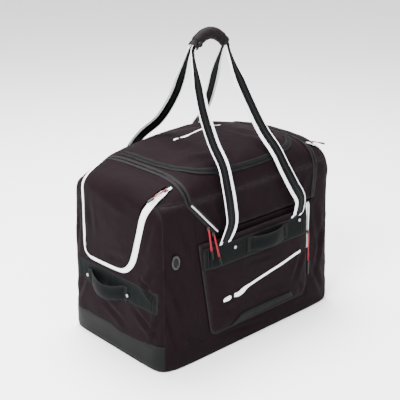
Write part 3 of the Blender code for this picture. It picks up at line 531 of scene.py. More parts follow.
def strip(name, points, normals, widths, thick, material, body, slot, nodes=(), across=6, crown=0.0,
          level=0.0):
    """A ribbon along a path: widths across it, and a crown that swells its middle. Its weave runs along and
    across it. Within level of its ends it turns until each end is cut level."""
    widths = np.broadcast_to(np.asarray(widths, float), (len(points),))
    tangents = unit(np.gradient(points, axis=0))
    length = run_along(points)
    if level:
        from_end = np.minimum(length, length[-1] - length)
        tangents[:, 0] *= np.clip(from_end / level, 0, 1)
        tangents = unit(tangents)
    normals = square_to(normals, tangents)
    sides = np.cross(normals, tangents)
    count = len(points) - 1

    def place(s, t):
        i = np.rint(s * count).astype(int)
        swell = crown * (1 - (2 * t - 1) ** 2)
        return points[i] + sides[i] * ((t - 0.5) * widths[i])[:, None] + normals[i] * swell[:, None]

    piece = lay_grid(name, count, across, place, (length[-1], widths.mean()))
    middle = count // 2
    if np.dot(piece.data.polygons[across * middle].normal, normals[middle]) < 0:
        piece.data.flip_normals()
    thicken(piece, thick, offset=1.0)
    return dress(piece, material, body, slot, *nodes)


def tube(name, points, radius, material, body, slot, nodes=(), closed=False, sides=8):
    """A round cord along points, made a mesh."""
    deselect()
    bpy.ops.curve.primitive_bezier_curve_add(location=(0, 0, 0))
    piece = bpy.context.object
    piece.name = name
    curve = piece.data
    curve.splines.clear()
    spline = curve.splines.new("POLY")
    spline.points.add(len(points) - 1)
    for knot, point in zip(spline.points, points):
        knot.co = (*point, 1.0)
    spline.use_cyclic_u = closed
    curve.dimensions = "3D"
    curve.bevel_depth = radius
    curve.bevel_resolution = max(sides // 4, 1)
    curve.use_fill_caps = not closed
    make_active(piece)
    bpy.ops.object.convert(target="MESH")
    piece = bpy.context.object
    piece.data.name = name
    return dress(piece, material, body, slot, *nodes)


def part_way(spots, length, values):
    """Values along a path, read at these lengths."""
    return np.stack([np.interp(spots, length, column) for column in values.T], axis=1)


def row_of_blocks(name, points, normals, pitch, size, material, body, slot, slant=0.0):
    """Small blocks with narrower tops set along a path, one at each pitch: zip teeth or stitches. Their size
    is along the path, across it and up."""
    length = run_along(points)
    spots = np.arange(pitch / 2, length[-1], pitch)
    centres = part_way(spots, length, points)
    runs = unit(part_way(spots, length, np.gradient(points, length, axis=0)))
    ups = square_to(part_way(spots, length, normals), runs)
    sides = np.cross(ups, runs)
    runs, sides = (runs * math.cos(slant) + sides * math.sin(slant),
                   sides * math.cos(slant) - runs * math.sin(slant))
    deselect()
    bpy.ops.mesh.primitive_cube_add(size=1, location=(0, 0, 0))
    block = bpy.context.object
    shape = points_of(block)
    top = shape[:, 2] > 0
    shape[top, :2] *= 0.62
    faces = np.array([polygon.vertices for polygon in block.data.polygons])
    bpy.data.objects.remove(block)
    shape = shape * np.array(size)
    row = (centres[:, None] + runs[:, None] * shape[:, 0:1] + sides[:, None] * shape[:, 1:2]
           + ups[:, None] * shape[:, 2:3])
    all_faces = np.concatenate([faces + len(shape) * i for i in range(len(centres))])
    mesh = bpy.data.meshes.new(name)
    mesh.from_pydata(row.reshape(-1, 3).tolist(), [], all_faces.tolist())
    piece = bpy.data.objects.new(name, mesh)
    bpy.context.scene.collection.objects.link(piece)
    return dress(piece, material, body, slot)


def stitches(name, points, normals, material, body, lift):
    row_of_blocks(name, points + normals * lift, normals, 0.0044, (0.0031, 0.0009, 0.0008), material, body,
                  "fabric")


def turned_disc(name, centre, normal, radius, thick, material, body, slot, node, oval=1.0, hole=0.0):
    """A round or oval domed plate on the cloth, with a rolled edge and, if asked, a hole through it."""
    deselect()
    if hole:
        tube_radius = (radius - hole) / 2
        bpy.ops.mesh.primitive_torus_add(major_radius=(radius + hole) / 2, minor_radius=tube_radius,
                                         major_segments=48, minor_segments=12, location=(0, 0, 0))
        piece = bpy.context.object
        shape = points_of(piece)
        shape[:, 2] *= thick / (2 * tube_radius)
        shape[:, 2] += thick / 2
    else:
        bpy.ops.mesh.primitive_cylinder_add(vertices=32, radius=radius, depth=thick,
                                            location=(0, 0, thick / 2))
        piece = bpy.context.object
        bpy.ops.object.transform_apply(location=True, rotation=False, scale=False)
        bpy.ops.object.mode_set(mode="EDIT")
        bpy.ops.mesh.select_all(action="DESELECT")
        bpy.ops.object.mode_set(mode="OBJECT")
        for polygon in piece.data.polygons:
            polygon.select = polygon.normal.z > 0.9
        bpy.ops.object.mode_set(mode="EDIT")
        bpy.ops.mesh.inset(thickness=radius * 0.30, depth=thick * 0.25)
        bpy.ops.mesh.inset(thickness=radius * 0.25, depth=-thick * 0.30)
        bpy.ops.object.mode_set(mode="OBJECT")
        apply(piece, "BEVEL", width=thick * 0.22, segments=2, limit_method="ANGLE")
        shape = points_of(piece)
    piece.name = name
    piece.data.name = name
    side = unit(np.cross((0, 0, 1), normal))
    up = np.cross(normal, side)
    put_points(piece, centre + shape[:, 0:1] * side + shape[:, 1:2] * oval * up + shape[:, 2:3] * normal)
    return dress(piece, material, body, slot, node)


def cut_by_outline(piece, outline, reach, operation):
    """Cuts a piece by an outline of depths and heights made solid along X between the two ends of reach."""
    deselect()
    bpy.ops.mesh.primitive_circle_add(vertices=len(outline), fill_type="NGON", location=(0, 0, 0))
    cutter = bpy.context.object
    put_points(cutter, [(reach[0], y, z) for y, z in outline])
    run = reach[1] - reach[0]
    apply(cutter, "SOLIDIFY", thickness=abs(run), offset=np.sign(run * cutter.data.polygons[0].normal.x))
    make_active(cutter)
    bpy.ops.object.mode_set(mode="EDIT")
    bpy.ops.mesh.select_all(action="SELECT")
    bpy.ops.mesh.normals_make_consistent(inside=False)
    bpy.ops.object.mode_set(mode="OBJECT")
    apply(piece, "BOOLEAN", object=cutter, operation=operation, solver="EXACT")
    bpy.data.objects.remove(cutter)


# ---------------------------------------------------------------- finishes

def new_group(name, inputs, outputs):
    """A shader node group with named inputs and outputs."""
    group = bpy.data.node_groups.new(name, "ShaderNodeTree")
    for label, kind, value in inputs:
        socket = group.interface.new_socket(label, in_out="INPUT", socket_type=kind)
        socket.default_value = value
    for label, kind in outputs:
        group.interface.new_socket(label, in_out="OUTPUT", socket_type=kind)
    return group, group.nodes.new("NodeGroupInput"), group.nodes.new("NodeGroupOutput")


def math_node(group, operation, first, second=None):
    """A Math node; each input is a socket or a number."""
    node = group.nodes.new("ShaderNodeMath")
    node.operation = operation
    for i, value in enumerate((first, second)):
        if value is None:
            continue
        if isinstance(value, (int, float)):
            node.inputs[i].default_value = value
        else:
            group.links.new(value, node.inputs[i])
    return node.outputs[0]


def mix_colours(group, share, first, second):
    node = group.nodes.new("ShaderNodeMix")
    node.data_type = "RGBA"
    for index, value in ((0, share), (6, first), (7, second)):
        if isinstance(value, bpy.types.NodeSocket):
            group.links.new(value, node.inputs[index])
        else:
            node.inputs[index].default_value = value
    return node.outputs[2]


def noise_node(group, coordinates, scale, detail=3.0):
    node = group.nodes.new("ShaderNodeTexNoise")
    node.inputs["Scale"].default_value = scale
    node.inputs["Detail"].default_value = detail
    group.links.new(coordinates, node.inputs["Vector"])
    return node.outputs["Fac"]


def make_weave_group():
    """Woven cloth: threads that cross at two pitches, fibre fuzz, soft colour variation and worn seams."""
    group, given, out = new_group(
        "woven threads",
        [("Dark", "NodeSocketColor", (0, 0, 0, 1)), ("Light", "NodeSocketColor", (1, 1, 1, 1)),
         ("Worn", "NodeSocketColor", (1, 1, 1, 1)), ("Pitch Along", "NodeSocketFloat", 0.001),
         ("Pitch Across", "NodeSocketFloat", 0.001), ("Roughness", "NodeSocketFloat", 0.8),
         ("Wear", "NodeSocketFloat", 0.2)],
        [("Color", "NodeSocketColor"), ("Roughness", "NodeSocketFloat"), ("Height", "NodeSocketFloat")])
    place = group.nodes.new("ShaderNodeTexCoord")
    split = group.nodes.new("ShaderNodeSeparateXYZ")
    group.links.new(place.outputs["UV"], split.inputs[0])
    along = math_node(group, "DIVIDE", split.outputs[0], given.outputs["Pitch Along"])
    across = math_node(group, "DIVIDE", split.outputs[1], given.outputs["Pitch Across"])
    warp = math_node(group, "SINE", math_node(group, "MULTIPLY", along, math.pi))
    weft = math_node(group, "SINE", math_node(group, "MULTIPLY", across, math.pi))
    cross = math_node(group, "MULTIPLY", warp, weft)
    thread = math_node(group, "MULTIPLY_ADD", cross, 0.5)
    thread.node.inputs[2].default_value = 0.5
    cloudy = noise_node(group, place.outputs["Object"], 9.0, 4.0)
    fuzz = noise_node(group, place.outputs["Object"], 420.0, 2.0)
    share = math_node(group, "MULTIPLY", thread, 0.35)
    share = math_node(group, "ADD", share, math_node(group, "MULTIPLY", cloudy, 0.55))
    share = math_node(group, "ADD", share, math_node(group, "MULTIPLY", fuzz, 0.25))
    colour = mix_colours(group, share, given.outputs["Dark"], given.outputs["Light"])
    seam = group.nodes.new("ShaderNodeAttribute")
    seam.attribute_name = "seam_wear"
    worn = math_node(group, "MULTIPLY", seam.outputs["Fac"], given.outputs["Wear"])
    worn = math_node(group, "MULTIPLY", worn, noise_node(group, place.outputs["Object"], 60.0, 3.0))
    colour = mix_colours(group, worn, colour, given.outputs["Worn"])
    group.links.new(colour, out.inputs["Color"])
    rough = math_node(group, "ADD", given.outputs["Roughness"], math_node(group, "MULTIPLY", cloudy, 0.16))
    group.links.new(math_node(group, "SUBTRACT", rough, math_node(group, "MULTIPLY", thread, 0.06)),
                    out.inputs["Roughness"])
    height = math_node(group, "ADD", thread, math_node(group, "MULTIPLY", fuzz, 0.5))
    group.links.new(height, out.inputs["Height"])
    return group


def make_grain_group():
    """Moulded or painted surface: fine grain, soft patches and small scuffs."""
    group, given, out = new_group(
        "moulded grain",
        [("Base", "NodeSocketColor", (0, 0, 0, 1)), ("Scuff", "NodeSocketColor", (1, 1, 1, 1)),
         ("Grain", "NodeSocketFloat", 600.0), ("Roughness", "NodeSocketFloat", 0.5),
         ("Wear", "NodeSocketFloat", 0.3)],
        [("Color", "NodeSocketColor"), ("Roughness", "NodeSocketFloat"), ("Height", "NodeSocketFloat")])
    place = group.nodes.new("ShaderNodeTexCoord")
    fine = group.nodes.new("ShaderNodeTexNoise")
    group.links.new(place.outputs["Object"], fine.inputs["Vector"])
    group.links.new(given.outputs["Grain"], fine.inputs["Scale"])
    patches = noise_node(group, place.outputs["Object"], 45.0, 4.0)
    scuffs = math_node(group, "POWER", patches, 4.0)
    scuffs = math_node(group, "MULTIPLY", scuffs, given.outputs["Wear"])
    colour = mix_colours(group, scuffs, given.outputs["Base"], given.outputs["Scuff"])
    group.links.new(colour, out.inputs["Color"])
    rough = math_node(group, "ADD", given.outputs["Roughness"], math_node(group, "MULTIPLY", patches, 0.2))
    group.links.new(rough, out.inputs["Roughness"])
    group.links.new(fine.outputs["Fac"], out.inputs["Height"])
    return group


def finish(name, group, bump, values, shader_values=()):
    """A Principled material fed by one of the groups."""
    material = bpy.data.materials.new(name)
    material.use_nodes = True
    tree = material.node_tree
    shader = tree.nodes["Principled BSDF"]
    node = tree.nodes.new("ShaderNodeGroup")
    node.node_tree = group
    for label, value in values.items():
        node.inputs[label].default_value = (*value, 1.0) if isinstance(value, tuple) else value
    relief_node = tree.nodes.new("ShaderNodeBump")
    relief_node.inputs["Distance"].default_value = bump
    relief_node.inputs["Strength"].default_value = 0.6
    tree.links.new(node.outputs["Height"], relief_node.inputs["Height"])
    tree.links.new(node.outputs["Color"], shader.inputs["Base Color"])
    tree.links.new(node.outputs["Roughness"], shader.inputs["Roughness"])
    tree.links.new(relief_node.outputs["Normal"], shader.inputs["Normal"])
    for label, value in dict(shader_values).items():
        shader.inputs[label].default_value = value
    return material


def striped(material, width, stops):
    """Gives a webbing its coloured stripes across its width, over the threads of its weave."""
    tree = material.node_tree
    shader = tree.nodes["Principled BSDF"]
    woven = shader.inputs["Base Color"].links[0].from_socket
    place = tree.nodes.new("ShaderNodeTexCoord")
    split = tree.nodes.new("ShaderNodeSeparateXYZ")
    tree.links.new(place.outputs["UV"], split.inputs[0])
    share = math_node(tree, "DIVIDE", split.outputs[1], width)
    ramp = tree.nodes.new("ShaderNodeValToRGB")
    ramp.color_ramp.interpolation = "CONSTANT"
    elements = ramp.color_ramp.elements
    while len(elements) > 1:
        elements.remove(elements[-1])
    elements[0].position, elements[0].color = stops[0][0], (*stops[0][1], 1)
    for position, colour in stops[1:]:
        element = elements.new(position)
        element.color = (*colour, 1)
    tree.links.new(share, ramp.inputs[0])
    blend_node = tree.nodes.new("ShaderNodeMix")
    blend_node.data_type = "RGBA"
    blend_node.blend_type = "MULTIPLY"
    blend_node.inputs[0].default_value = 1.0
    tree.links.new(woven, blend_node.inputs[6])
    tree.links.new(ramp.outputs[0], blend_node.inputs[7])
    tree.links.new(blend_node.outputs[2], shader.inputs["Base Color"])


WEAVE = make_weave_group()
GRAIN = make_grain_group()


def woven(name, dark, light, along, across, rough, bump, wear=0.25, worn=(0.06, 0.055, 0.055), gloss=0.15):
    """A cloth or webbing: its two thread colours, the threads' pitch along and across, roughness and bump."""
    values = {"Dark": dark, "Light": light, "Worn": worn, "Pitch Along": along, "Pitch Across": across,
              "Roughness": rough, "Wear": wear}
    return finish(name, WEAVE, bump, values, {"Specular IOR Level": gloss})


def moulded(name, base, scuff, grain, rough, bump, wear=0.3, metallic=0.0, coat=0.0, gloss=0.3):
    """A plastic, metal, rubber or thread: its colour, scuffs, how fine its grain is, roughness and bump."""
    values = {"Base": base, "Scuff": scuff, "Grain": grain, "Roughness": rough, "Wear": wear}
    return finish(name, GRAIN, bump, values, {"Metallic": metallic, "Coat Weight": coat,
                                              "Specular IOR Level": gloss})


FABRIC = woven("bag cloth", (0.0022, 0.0010, 0.0014), (0.0078, 0.0042, 0.0055), 0.0011, 0.0011, 0.66, 0.00035,
               gloss=0.03)
LINING = woven("pocket lining", (0.012, 0.011, 0.012), (0.028, 0.026, 0.028), 0.0014, 0.0014, 0.7, 0.0002)
WEBBING = woven("haul webbing", (0.0010, 0.0014, 0.0014), (0.0036, 0.0048, 0.0047), 0.0042, 0.0017, 0.60,
                0.0006, gloss=0.03)
STRAP = woven("strap webbing", (0.72, 0.72, 0.74), (1.0, 1.0, 1.0), 0.0036, 0.0016, 0.6, 0.0006, wear=0.0,
              gloss=0.05)
STRIPE_WHITE = (0.86, 0.87, 0.89)
STRIPE_DARK = (0.0022, 0.0024, 0.0026)
STRIPE_MIDDLE = (0.0090, 0.0095, 0.0100)
striped(STRAP, STRAP_WIDTH * 0.93, [(0.0, STRIPE_WHITE), (0.20, STRIPE_DARK), (0.45, STRIPE_MIDDLE),
                                    (0.55, STRIPE_DARK), (0.79, STRIPE_WHITE)])
TAPE_WHITE = woven("white trim tape", (0.66, 0.67, 0.70), (0.92, 0.93, 0.95), 0.0016, 0.0012, 0.45, 0.00025,
                   wear=0.5, worn=(0.42, 0.42, 0.43))
TAPE_GREY = woven("grey binding", (0.30, 0.31, 0.33), (0.50, 0.51, 0.53), 0.0014, 0.0010, 0.5, 0.0002)
BINDING = woven("black binding", (0.0018, 0.0015, 0.0017), (0.0068, 0.0055, 0.0062), 0.0016, 0.0011, 0.6,
                0.0004, gloss=0.05)
TARP = woven("coated tarpaulin", (0.0030, 0.0031, 0.0032), (0.0064, 0.0065, 0.0068), 0.0016, 0.0016, 0.46,
             0.00018, wear=0.3, worn=(0.03, 0.03, 0.03), gloss=0.05)
GRIP_CLOTH = woven("grip cloth", (0.0022, 0.0014, 0.0017), (0.0078, 0.0050, 0.0061), 0.0009, 0.0009, 0.70,
                   0.0003, gloss=0.08)
PRINT = woven("raised white print", (0.70, 0.71, 0.73), (0.93, 0.94, 0.96), 0.0012, 0.0050, 0.4, 0.0002)
MESH_CLOTH = woven("vent mesh", (0.001, 0.001, 0.001), (0.016, 0.017, 0.017), 0.0011, 0.0011, 0.5, 0.0010,
                   gloss=0.05)
RUBBER = moulded("matt rubber", (0.0012, 0.0013, 0.0013), (0.008, 0.008, 0.008), 900.0, 0.42, 0.0003,
                 gloss=0.05)
RED_CORD = moulded("red pull cord", (0.19, 0.0085, 0.016), (0.34, 0.05, 0.07), 1400.0, 0.42, 0.0006, wear=0.8,
                   gloss=0.15)
TIP = moulded("moulded tip", (0.003, 0.003, 0.0032), (0.02, 0.02, 0.02), 1600.0, 0.34, 0.0002, gloss=0.12)
SLIDER = moulded("black enamel", (0.020, 0.020, 0.021), (0.25, 0.25, 0.25), 500.0, 0.22, 0.0001, wear=0.5,
                 metallic=0.8, coat=0.3)
ZIP_COIL = moulded("nylon zip coil", (0.004, 0.004, 0.0042), (0.02, 0.02, 0.02), 1200.0, 0.35, 0.0001,
                   gloss=0.12)
METAL = moulded("rivet metal", (0.26, 0.26, 0.27), (0.50, 0.50, 0.52), 300.0, 0.22, 0.0001, wear=0.6,
                metallic=1.0)
VENT_METAL = moulded("black eyelet", (0.006, 0.006, 0.0063), (0.05, 0.05, 0.05), 400.0, 0.28, 0.0001,
                     wear=0.4, metallic=0.6, coat=0.3)
THREAD_DARK = moulded("black thread", (0.010, 0.0095, 0.010), (0.03, 0.028, 0.03), 900.0, 0.5, 0.0001,
                      gloss=0.08)
THREAD_LIGHT = moulded("grey thread", (0.30, 0.30, 0.31), (0.75, 0.75, 0.76), 900.0, 0.5, 0.0001)
BOARD = moulded("board plastic", (0.010, 0.010, 0.010), (0.07, 0.07, 0.07), 350.0, 0.45, 0.0004)


# ---------------------------------------------------------------- cloth panels

def laid(points, lie=None, lift=0.0):
    """Points raised off the skin by the cloth's folds and a lift, and their outward directions."""
    normals = outward(points)
    rise = lift if lie is None else lie(points)[..., None] + lift
    return points + normals * rise, normals


def on_lid(x, y):
    """Points on the outside of the lid, with its folds, and their outward directions."""
    return laid(on_top(x, y), top_relief)


def on_back(x, z):
    """Points on the outside of the back wall, with its folds, and their outward directions."""
    return laid(on_front(x, z, 1), back_relief)


NOTCH_COLUMNS = (0.24, 0.86)
NOTCH_ROW = 0.76


def front_spot(s, t):
    """The front wall. Its columns follow the two sides of the notch that the lid's drop fills."""
    first, last = NOTCH_COLUMNS
    below = t <= NOTCH_ROW
    z = np.where(below, lerp(FLOOR_LEVEL, NOTCH_LOW, t / NOTCH_ROW),
                 lerp(NOTCH_LOW, PANEL_TOP, (t - NOTCH_ROW) / (1 - NOTCH_ROW)))
    edge = CORNER_SPLIT * half_length(z)
    notch = np.maximum(z, NOTCH_LOW)
    left, right = hem_left(notch) - 2 * SEAM, hem_right(notch) + 2 * SEAM
    start = 1 - np.cos(np.pi / 2 * np.clip(s / first, 0, 1))
    end = np.sin(np.pi / 2 * np.clip((s - last) / (1 - last), 0, 1))
    middle = lerp(left, right, (s - first) / (last - first))
    x = np.where(s < first, lerp(-edge, left, start), np.where(s > last, lerp(right, edge, end), middle))
    return on_front(x, z)


def make_front_wall():
    def open_notch(s, t):
        return (s > NOTCH_COLUMNS[0]) & (s < NOTCH_COLUMNS[1]) & (t > NOTCH_ROW)

    cloth_sheet("front_cloth", 150, 100, front_spot, (0.76, 0.52), FABRIC, "bag_body", "fabric",
                "front_panel", front_relief, tucked=0.0012, gap=open_notch)


def make_back_wall():
    def spot(s, t):
        z = lerp(FLOOR_LEVEL, PANEL_TOP, t)
        return on_front((2 * crowd(s) - 1) * CORNER_SPLIT * half_length(z), z, 1)

    cloth_sheet("back_cloth", 140, 90, spot, (0.76, 0.52), FABRIC, "bag_body", "fabric", "back_panel",
                back_relief)


FLAP_CENTRE = 0.45
FLAP_FULL = 0.0080
FLAP_GAP = 0.0004
HINGE_FADE = 0.025
FLAP_CREASES = [
    ((0.0, -0.10, 0.50), (0.0, 0.06, 0.53), 0.016, 0.0022),
    ((0.0, 0.11, 0.47), (0.0, 0.10, 0.36), 0.014, 0.0020),
    ((0.0, -0.06, 0.33), (0.0, 0.02, 0.31), 0.012, 0.0020),
]
SHOULDER_SPLIT = 0.4
SHOULDER_MARGIN = 0.15


def flap_outline(grow):
    """The end flap's outline up over its hinge, let out all round by grow."""
    outline = np.array([(FLAP_FRONT_TOP, FLAP_ABOVE), *FLAP_OUTLINE, (FLAP_BACK_TOP, FLAP_ABOVE)])
    return outline + unit(outline - np.array((0.0, FLAP_CENTRE))) * grow


def shoulder_lie(points):
    from_hinge = np.abs(np.abs(points[:, 0]) - FLAP_HINGE_X)
    return top_relief(points) * np.clip(from_hinge / HINGE_FADE, 0, 1) - 0.0008


def flap_lie(points):
    """The flap is fullest in its middle. It lies flat at its hinge, so that it can turn there."""
    past_hinge = np.abs(points[:, 0]) - FLAP_HINGE_X
    across = np.clip(1 - ((points[:, 1] + 0.005) / 0.145) ** 2, 0, 1)
    up = np.clip((points[:, 2] - 0.285) / 0.16, 0, 1) * np.clip(past_hinge / 0.05, 0, 1)
    folds = relief(points, FLAP_CREASES, 11, 0.0030, 0) * np.clip(np.abs(past_hinge) / HINGE_FADE, 0, 1)
    return folds + 0.0035 + FLAP_FULL * across ** 0.7 * up


def tarp_lie(points):
    return np.maximum(end_relief(points) * 0.5, -0.0004) + 0.0026


def make_end(word, side):
    def wall_spot(s, t):
        share = (2 * crowd(s) - 1) * (CORNER_SPLIT - 0.004)
        z = lerp(FLOOR_LEVEL, end_height(side, share * half_depth(SHOULDER)) - 0.001, t)
        return on_end(side, share * half_depth(z), z)

    def shoulder_spot(s, t):
        split, margin = SHOULDER_SPLIT, SHOULDER_MARGIN
        near = LID_RIGHT + SEAM * 1.5 if side > 0 else LID_LEFT - SEAM * 1.5
        hinge = side * (FLAP_HINGE_X - FLAP_GAP)
        far = side * CORNER_SPLIT * half_length(SHOULDER)
        round_over = np.sin(np.pi / 2 * np.clip((s - split) / (1 - split), 0, 1))
        x = np.where(s < split, lerp(near, hinge, s / split), lerp(hinge, far, round_over))
        front, back = turn_at_height(x, TOP_SEAM, -1), turn_at_height(x, TOP_SEAM, 1)
        flap_front = turn_at_depth(x, FLAP_FRONT_TOP + 0.0092)
        flap_back = turn_at_depth(x, FLAP_BACK_TOP - 0.0120)
        middle = lerp(flap_front, flap_back, (t - margin) / (1 - 2 * margin))
        turn = np.where(t < margin, lerp(front, flap_front, t / margin),
                        np.where(t > 1 - margin, lerp(flap_back, back, (t - 1 + margin) / margin), middle))
        return by_turn(x, turn)

    def flap_gap(s, t):
        return (s > SHOULDER_SPLIT) & (t > SHOULDER_MARGIN) & (t < 1 - SHOULDER_MARGIN)

    def flap_spot(s, t):
        return over_end(side, lerp(-0.168, 0.168, s), lerp(-42.0, 64.0, t))

    def tarp_spot(s, t):
        z = lerp(FLOOR_LEVEL + 0.001, TARP_TOP, t)
        return on_end(side, (2 * crowd(s) - 1) * (CORNER_SPLIT - 0.008) * half_depth(z), z)

    wall = cloth_sheet(word + "_end_cloth", 110, 110, wall_spot, (0.46, 0.56), FABRIC, "bag_body", "fabric",
                       word + "_end_panel", end_relief)
    cloth_sheet(word + "_shoulder_cloth", 40, 120, shoulder_spot, (0.09, 0.50), FABRIC, "bag_body", "fabric",
                word + "_end_top", shoulder_lie, tucked=0.0012, gap=flap_gap)
    flap = cloth_sheet(word + "_flap_cloth", 100, 110, flap_spot, (0.336, 0.36), FABRIC, word + "_flap",
                       "fabric", word + "_pocket_flap", flap_lie, tucked=0.0)
    beyond_end = side * 0.50
    cut_by_outline(wall, flap_outline(FLAP_GAP), (side * (FLAP_HINGE_X - FLAP_GAP), beyond_end), "DIFFERENCE")
    cut_by_outline(flap, flap_outline(-FLAP_GAP), (side * (FLAP_HINGE_X + FLAP_GAP), beyond_end), "INTERSECT")
    low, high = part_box(word + "_tarp_band")
    cloth_sheet(word + "_tarp_cloth", 100, 24, tarp_spot, (high.y - low.y, TARP_TOP), TARP, "bag_body",
                "tarpaulin", word + "_tarp_band", tarp_lie, thick=TAPE, tucked=0.0004)
    make_pocket_lining(word, side)


def make_pocket_lining(word, side):
    """The cloth wall inside that parts an end pocket from the main compartment."""
    low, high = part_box(word + "_pocket_wall")
    x = high.x if side > 0 else low.x

    def spot(s, t):
        z = lerp(low.z + 0.001, high.z - 0.001, t)
        inside = np.minimum(on_front(x, z, 1)[:, 1] - CLOTH - 0.0045, high.y - 0.001)
        hang = 0.0022 * np.sin(s * 9.0 + t * 3.0) * np.sin(np.pi * s) * np.sin(np.pi * t)
        return vectors(x - side * 0.0018 + hang, lerp(-inside, inside, s), z)

    piece = lay_grid(word + "_pocket_lining", 50, 50, spot, (0.44, 0.56))
    thicken(piece, 0.0012, offset=0.0)
    dress(piece, LINING, "bag_body", "fabric", word + "_pocket_wall")


def lid_spot(s, t):
    x = lerp(LID_LEFT, LID_RIGHT, s)
    return by_turn(x, lerp(turn_at_height(x, LID_FOLD + SEAM, -1), turn_at_depth(x, LID_BACK), t))


def drop_spot(s, t):
    z = lerp(LID_HEM, LID_FOLD - SEAM, t)
    return on_front(lerp(hem_left(z) + SEAM, hem_right(z) - SEAM, s), z)


def yoke_spot(s, t):
    x = lerp(LID_LEFT, LID_RIGHT, s)
    return by_turn(x, lerp(turn_at_depth(x, LID_BACK + 2 * SEAM), turn_at_height(x, TOP_SEAM, 1), t))


DROP_CREASES = [
    ((-0.20, -0.22, 0.50), (-0.15, -0.23, 0.42), 0.010, 0.0022),
    ((0.02, -0.22, 0.51), (0.05, -0.23, 0.41), 0.016, 0.0018),
    ((0.22, -0.22, 0.50), (0.19, -0.23, 0.41), 0.012, 0.0022),
]


def drop_lie(points):
    """The drop stands off the wall, and its hem curls a little."""
    fall = np.clip((LID_FOLD - points[..., 2]) / (LID_FOLD - LID_HEM), 0, 1)
    hang = 0.0012 * np.sin(points[..., 0] * 34.0 + 0.6) * fall ** 2
    return drop_lift(points[..., 2]) + np.maximum(relief(points, DROP_CREASES, 14, 0.0026, 1), -0.0012) + hang


LID_BAND_ROUTE = [(-0.236, 0.120), (-0.238, 0.03), (-0.236, -0.065), (-0.222, -0.125), (-0.190, -0.166),
                  (-0.130, -0.189), (-0.050, -0.199), (0.050, -0.200), (0.130, -0.193), (0.200, -0.172),
                  (0.238, -0.125), (0.252, -0.065), (0.254, 0.03), (0.252, 0.120)]


def make_lid():
    cloth_sheet("lid_cloth", 150, 110, lid_spot, (0.56, 0.40), FABRIC, "lid", "fabric", "lid_panel",
                top_relief, tucked=0.0010)
    cloth_sheet("lid_drop_cloth", 140, 40, drop_spot, (0.50, 0.112), FABRIC, "lid", "fabric", "lid_drop",
                drop_lie, tucked=0.0006)
    cloth_sheet("yoke_cloth", 110, 22, yoke_spot, (0.56, 0.07), FABRIC, "bag_body", "fabric", "back_yoke",
                top_relief, tucked=0.0010)
    z = np.linspace(LID_FOLD - 0.006, LID_HEM + 0.003, 40)
    points, normals = laid(on_front(hem_left(z) + 0.003, z), drop_lie, 0.0004)
    strip("lid_drop_edge", points, normals, 0.0040, 0.0014, TAPE_GREY, "lid", "grey_trim",
          ["lid_drop_binding"], crown=0.0006)

    points, normals = laid(on_top(*smooth_path(LID_BAND_ROUTE, 9).T), top_relief, 0.0004)
    strip("lid_seam_band", points, normals, 0.022, 0.0014, WEBBING, "lid", "webbing", ["lid_band"],
          across=10, crown=0.0012)
    for number, offset in ((1, -0.0088), (2, 0.0088)):
        shifted = points + across_path(points, normals) * offset
        stitches(f"lid_seam_stitches_{number}", shifted, normals, THREAD_DARK, "lid", 0.0018)
    tube("lid_seam_rib", points + normals * 0.0022, 0.0016, BINDING, "lid", "webbing")


# ---------------------------------------------------------------- front pocket and its fittings

def pocket_edge(z):
    """The pocket's left edge, turned in at its lower corner."""
    radius = 0.022
    short = np.clip(radius - (z - POCKET_LOW), 0, radius)
    return pocket_left(z) + radius - np.sqrt(radius ** 2 - short ** 2)


POCKET_SIZE = (0.46, 0.31)
PATCH_SIZE = (0.26, 0.034)
PATCH_STITCHES = [(-0.106, 0.079), (0.162, 0.0875), (0.146, 0.1055), (-0.078, 0.1055), (-0.106, 0.079)]
FRONT_ZIP_LOW = 0.232
FRONT_ZIP_HIGH = 0.392


def pocket_spot(s, t):
    z = lerp(POCKET_LOW, POCKET_TOP, t)
    points, normals = on_pocket(lerp(pocket_edge(z), POCKET_RIGHT, s), z)
    return points + normals * tuck(s, t, POCKET_SIZE, 0.0004)[:, None]


def patch_spot(s, t):
    """The patch, with a slanted left end and a raised middle."""
    x = lerp(lerp(-0.117, 0.170, s), lerp(-0.080, 0.150, s), t)
    z = lerp(lerp(0.073, 0.083, s), 0.110, t)
    points, normals = on_pocket(x, z)
    edge = np.clip(from_edge(s, t, PATCH_SIZE) / 0.005, 0, 1)
    return points + normals * (0.0010 + 0.0024 * np.sqrt(edge))[:, None]


def straight_runs(corners, steps):
    """A path of straight stretches from corner to corner, with this many points in each."""
    return np.concatenate([np.linspace(a, b, steps) for a, b in zip(corners, corners[1:])]).T


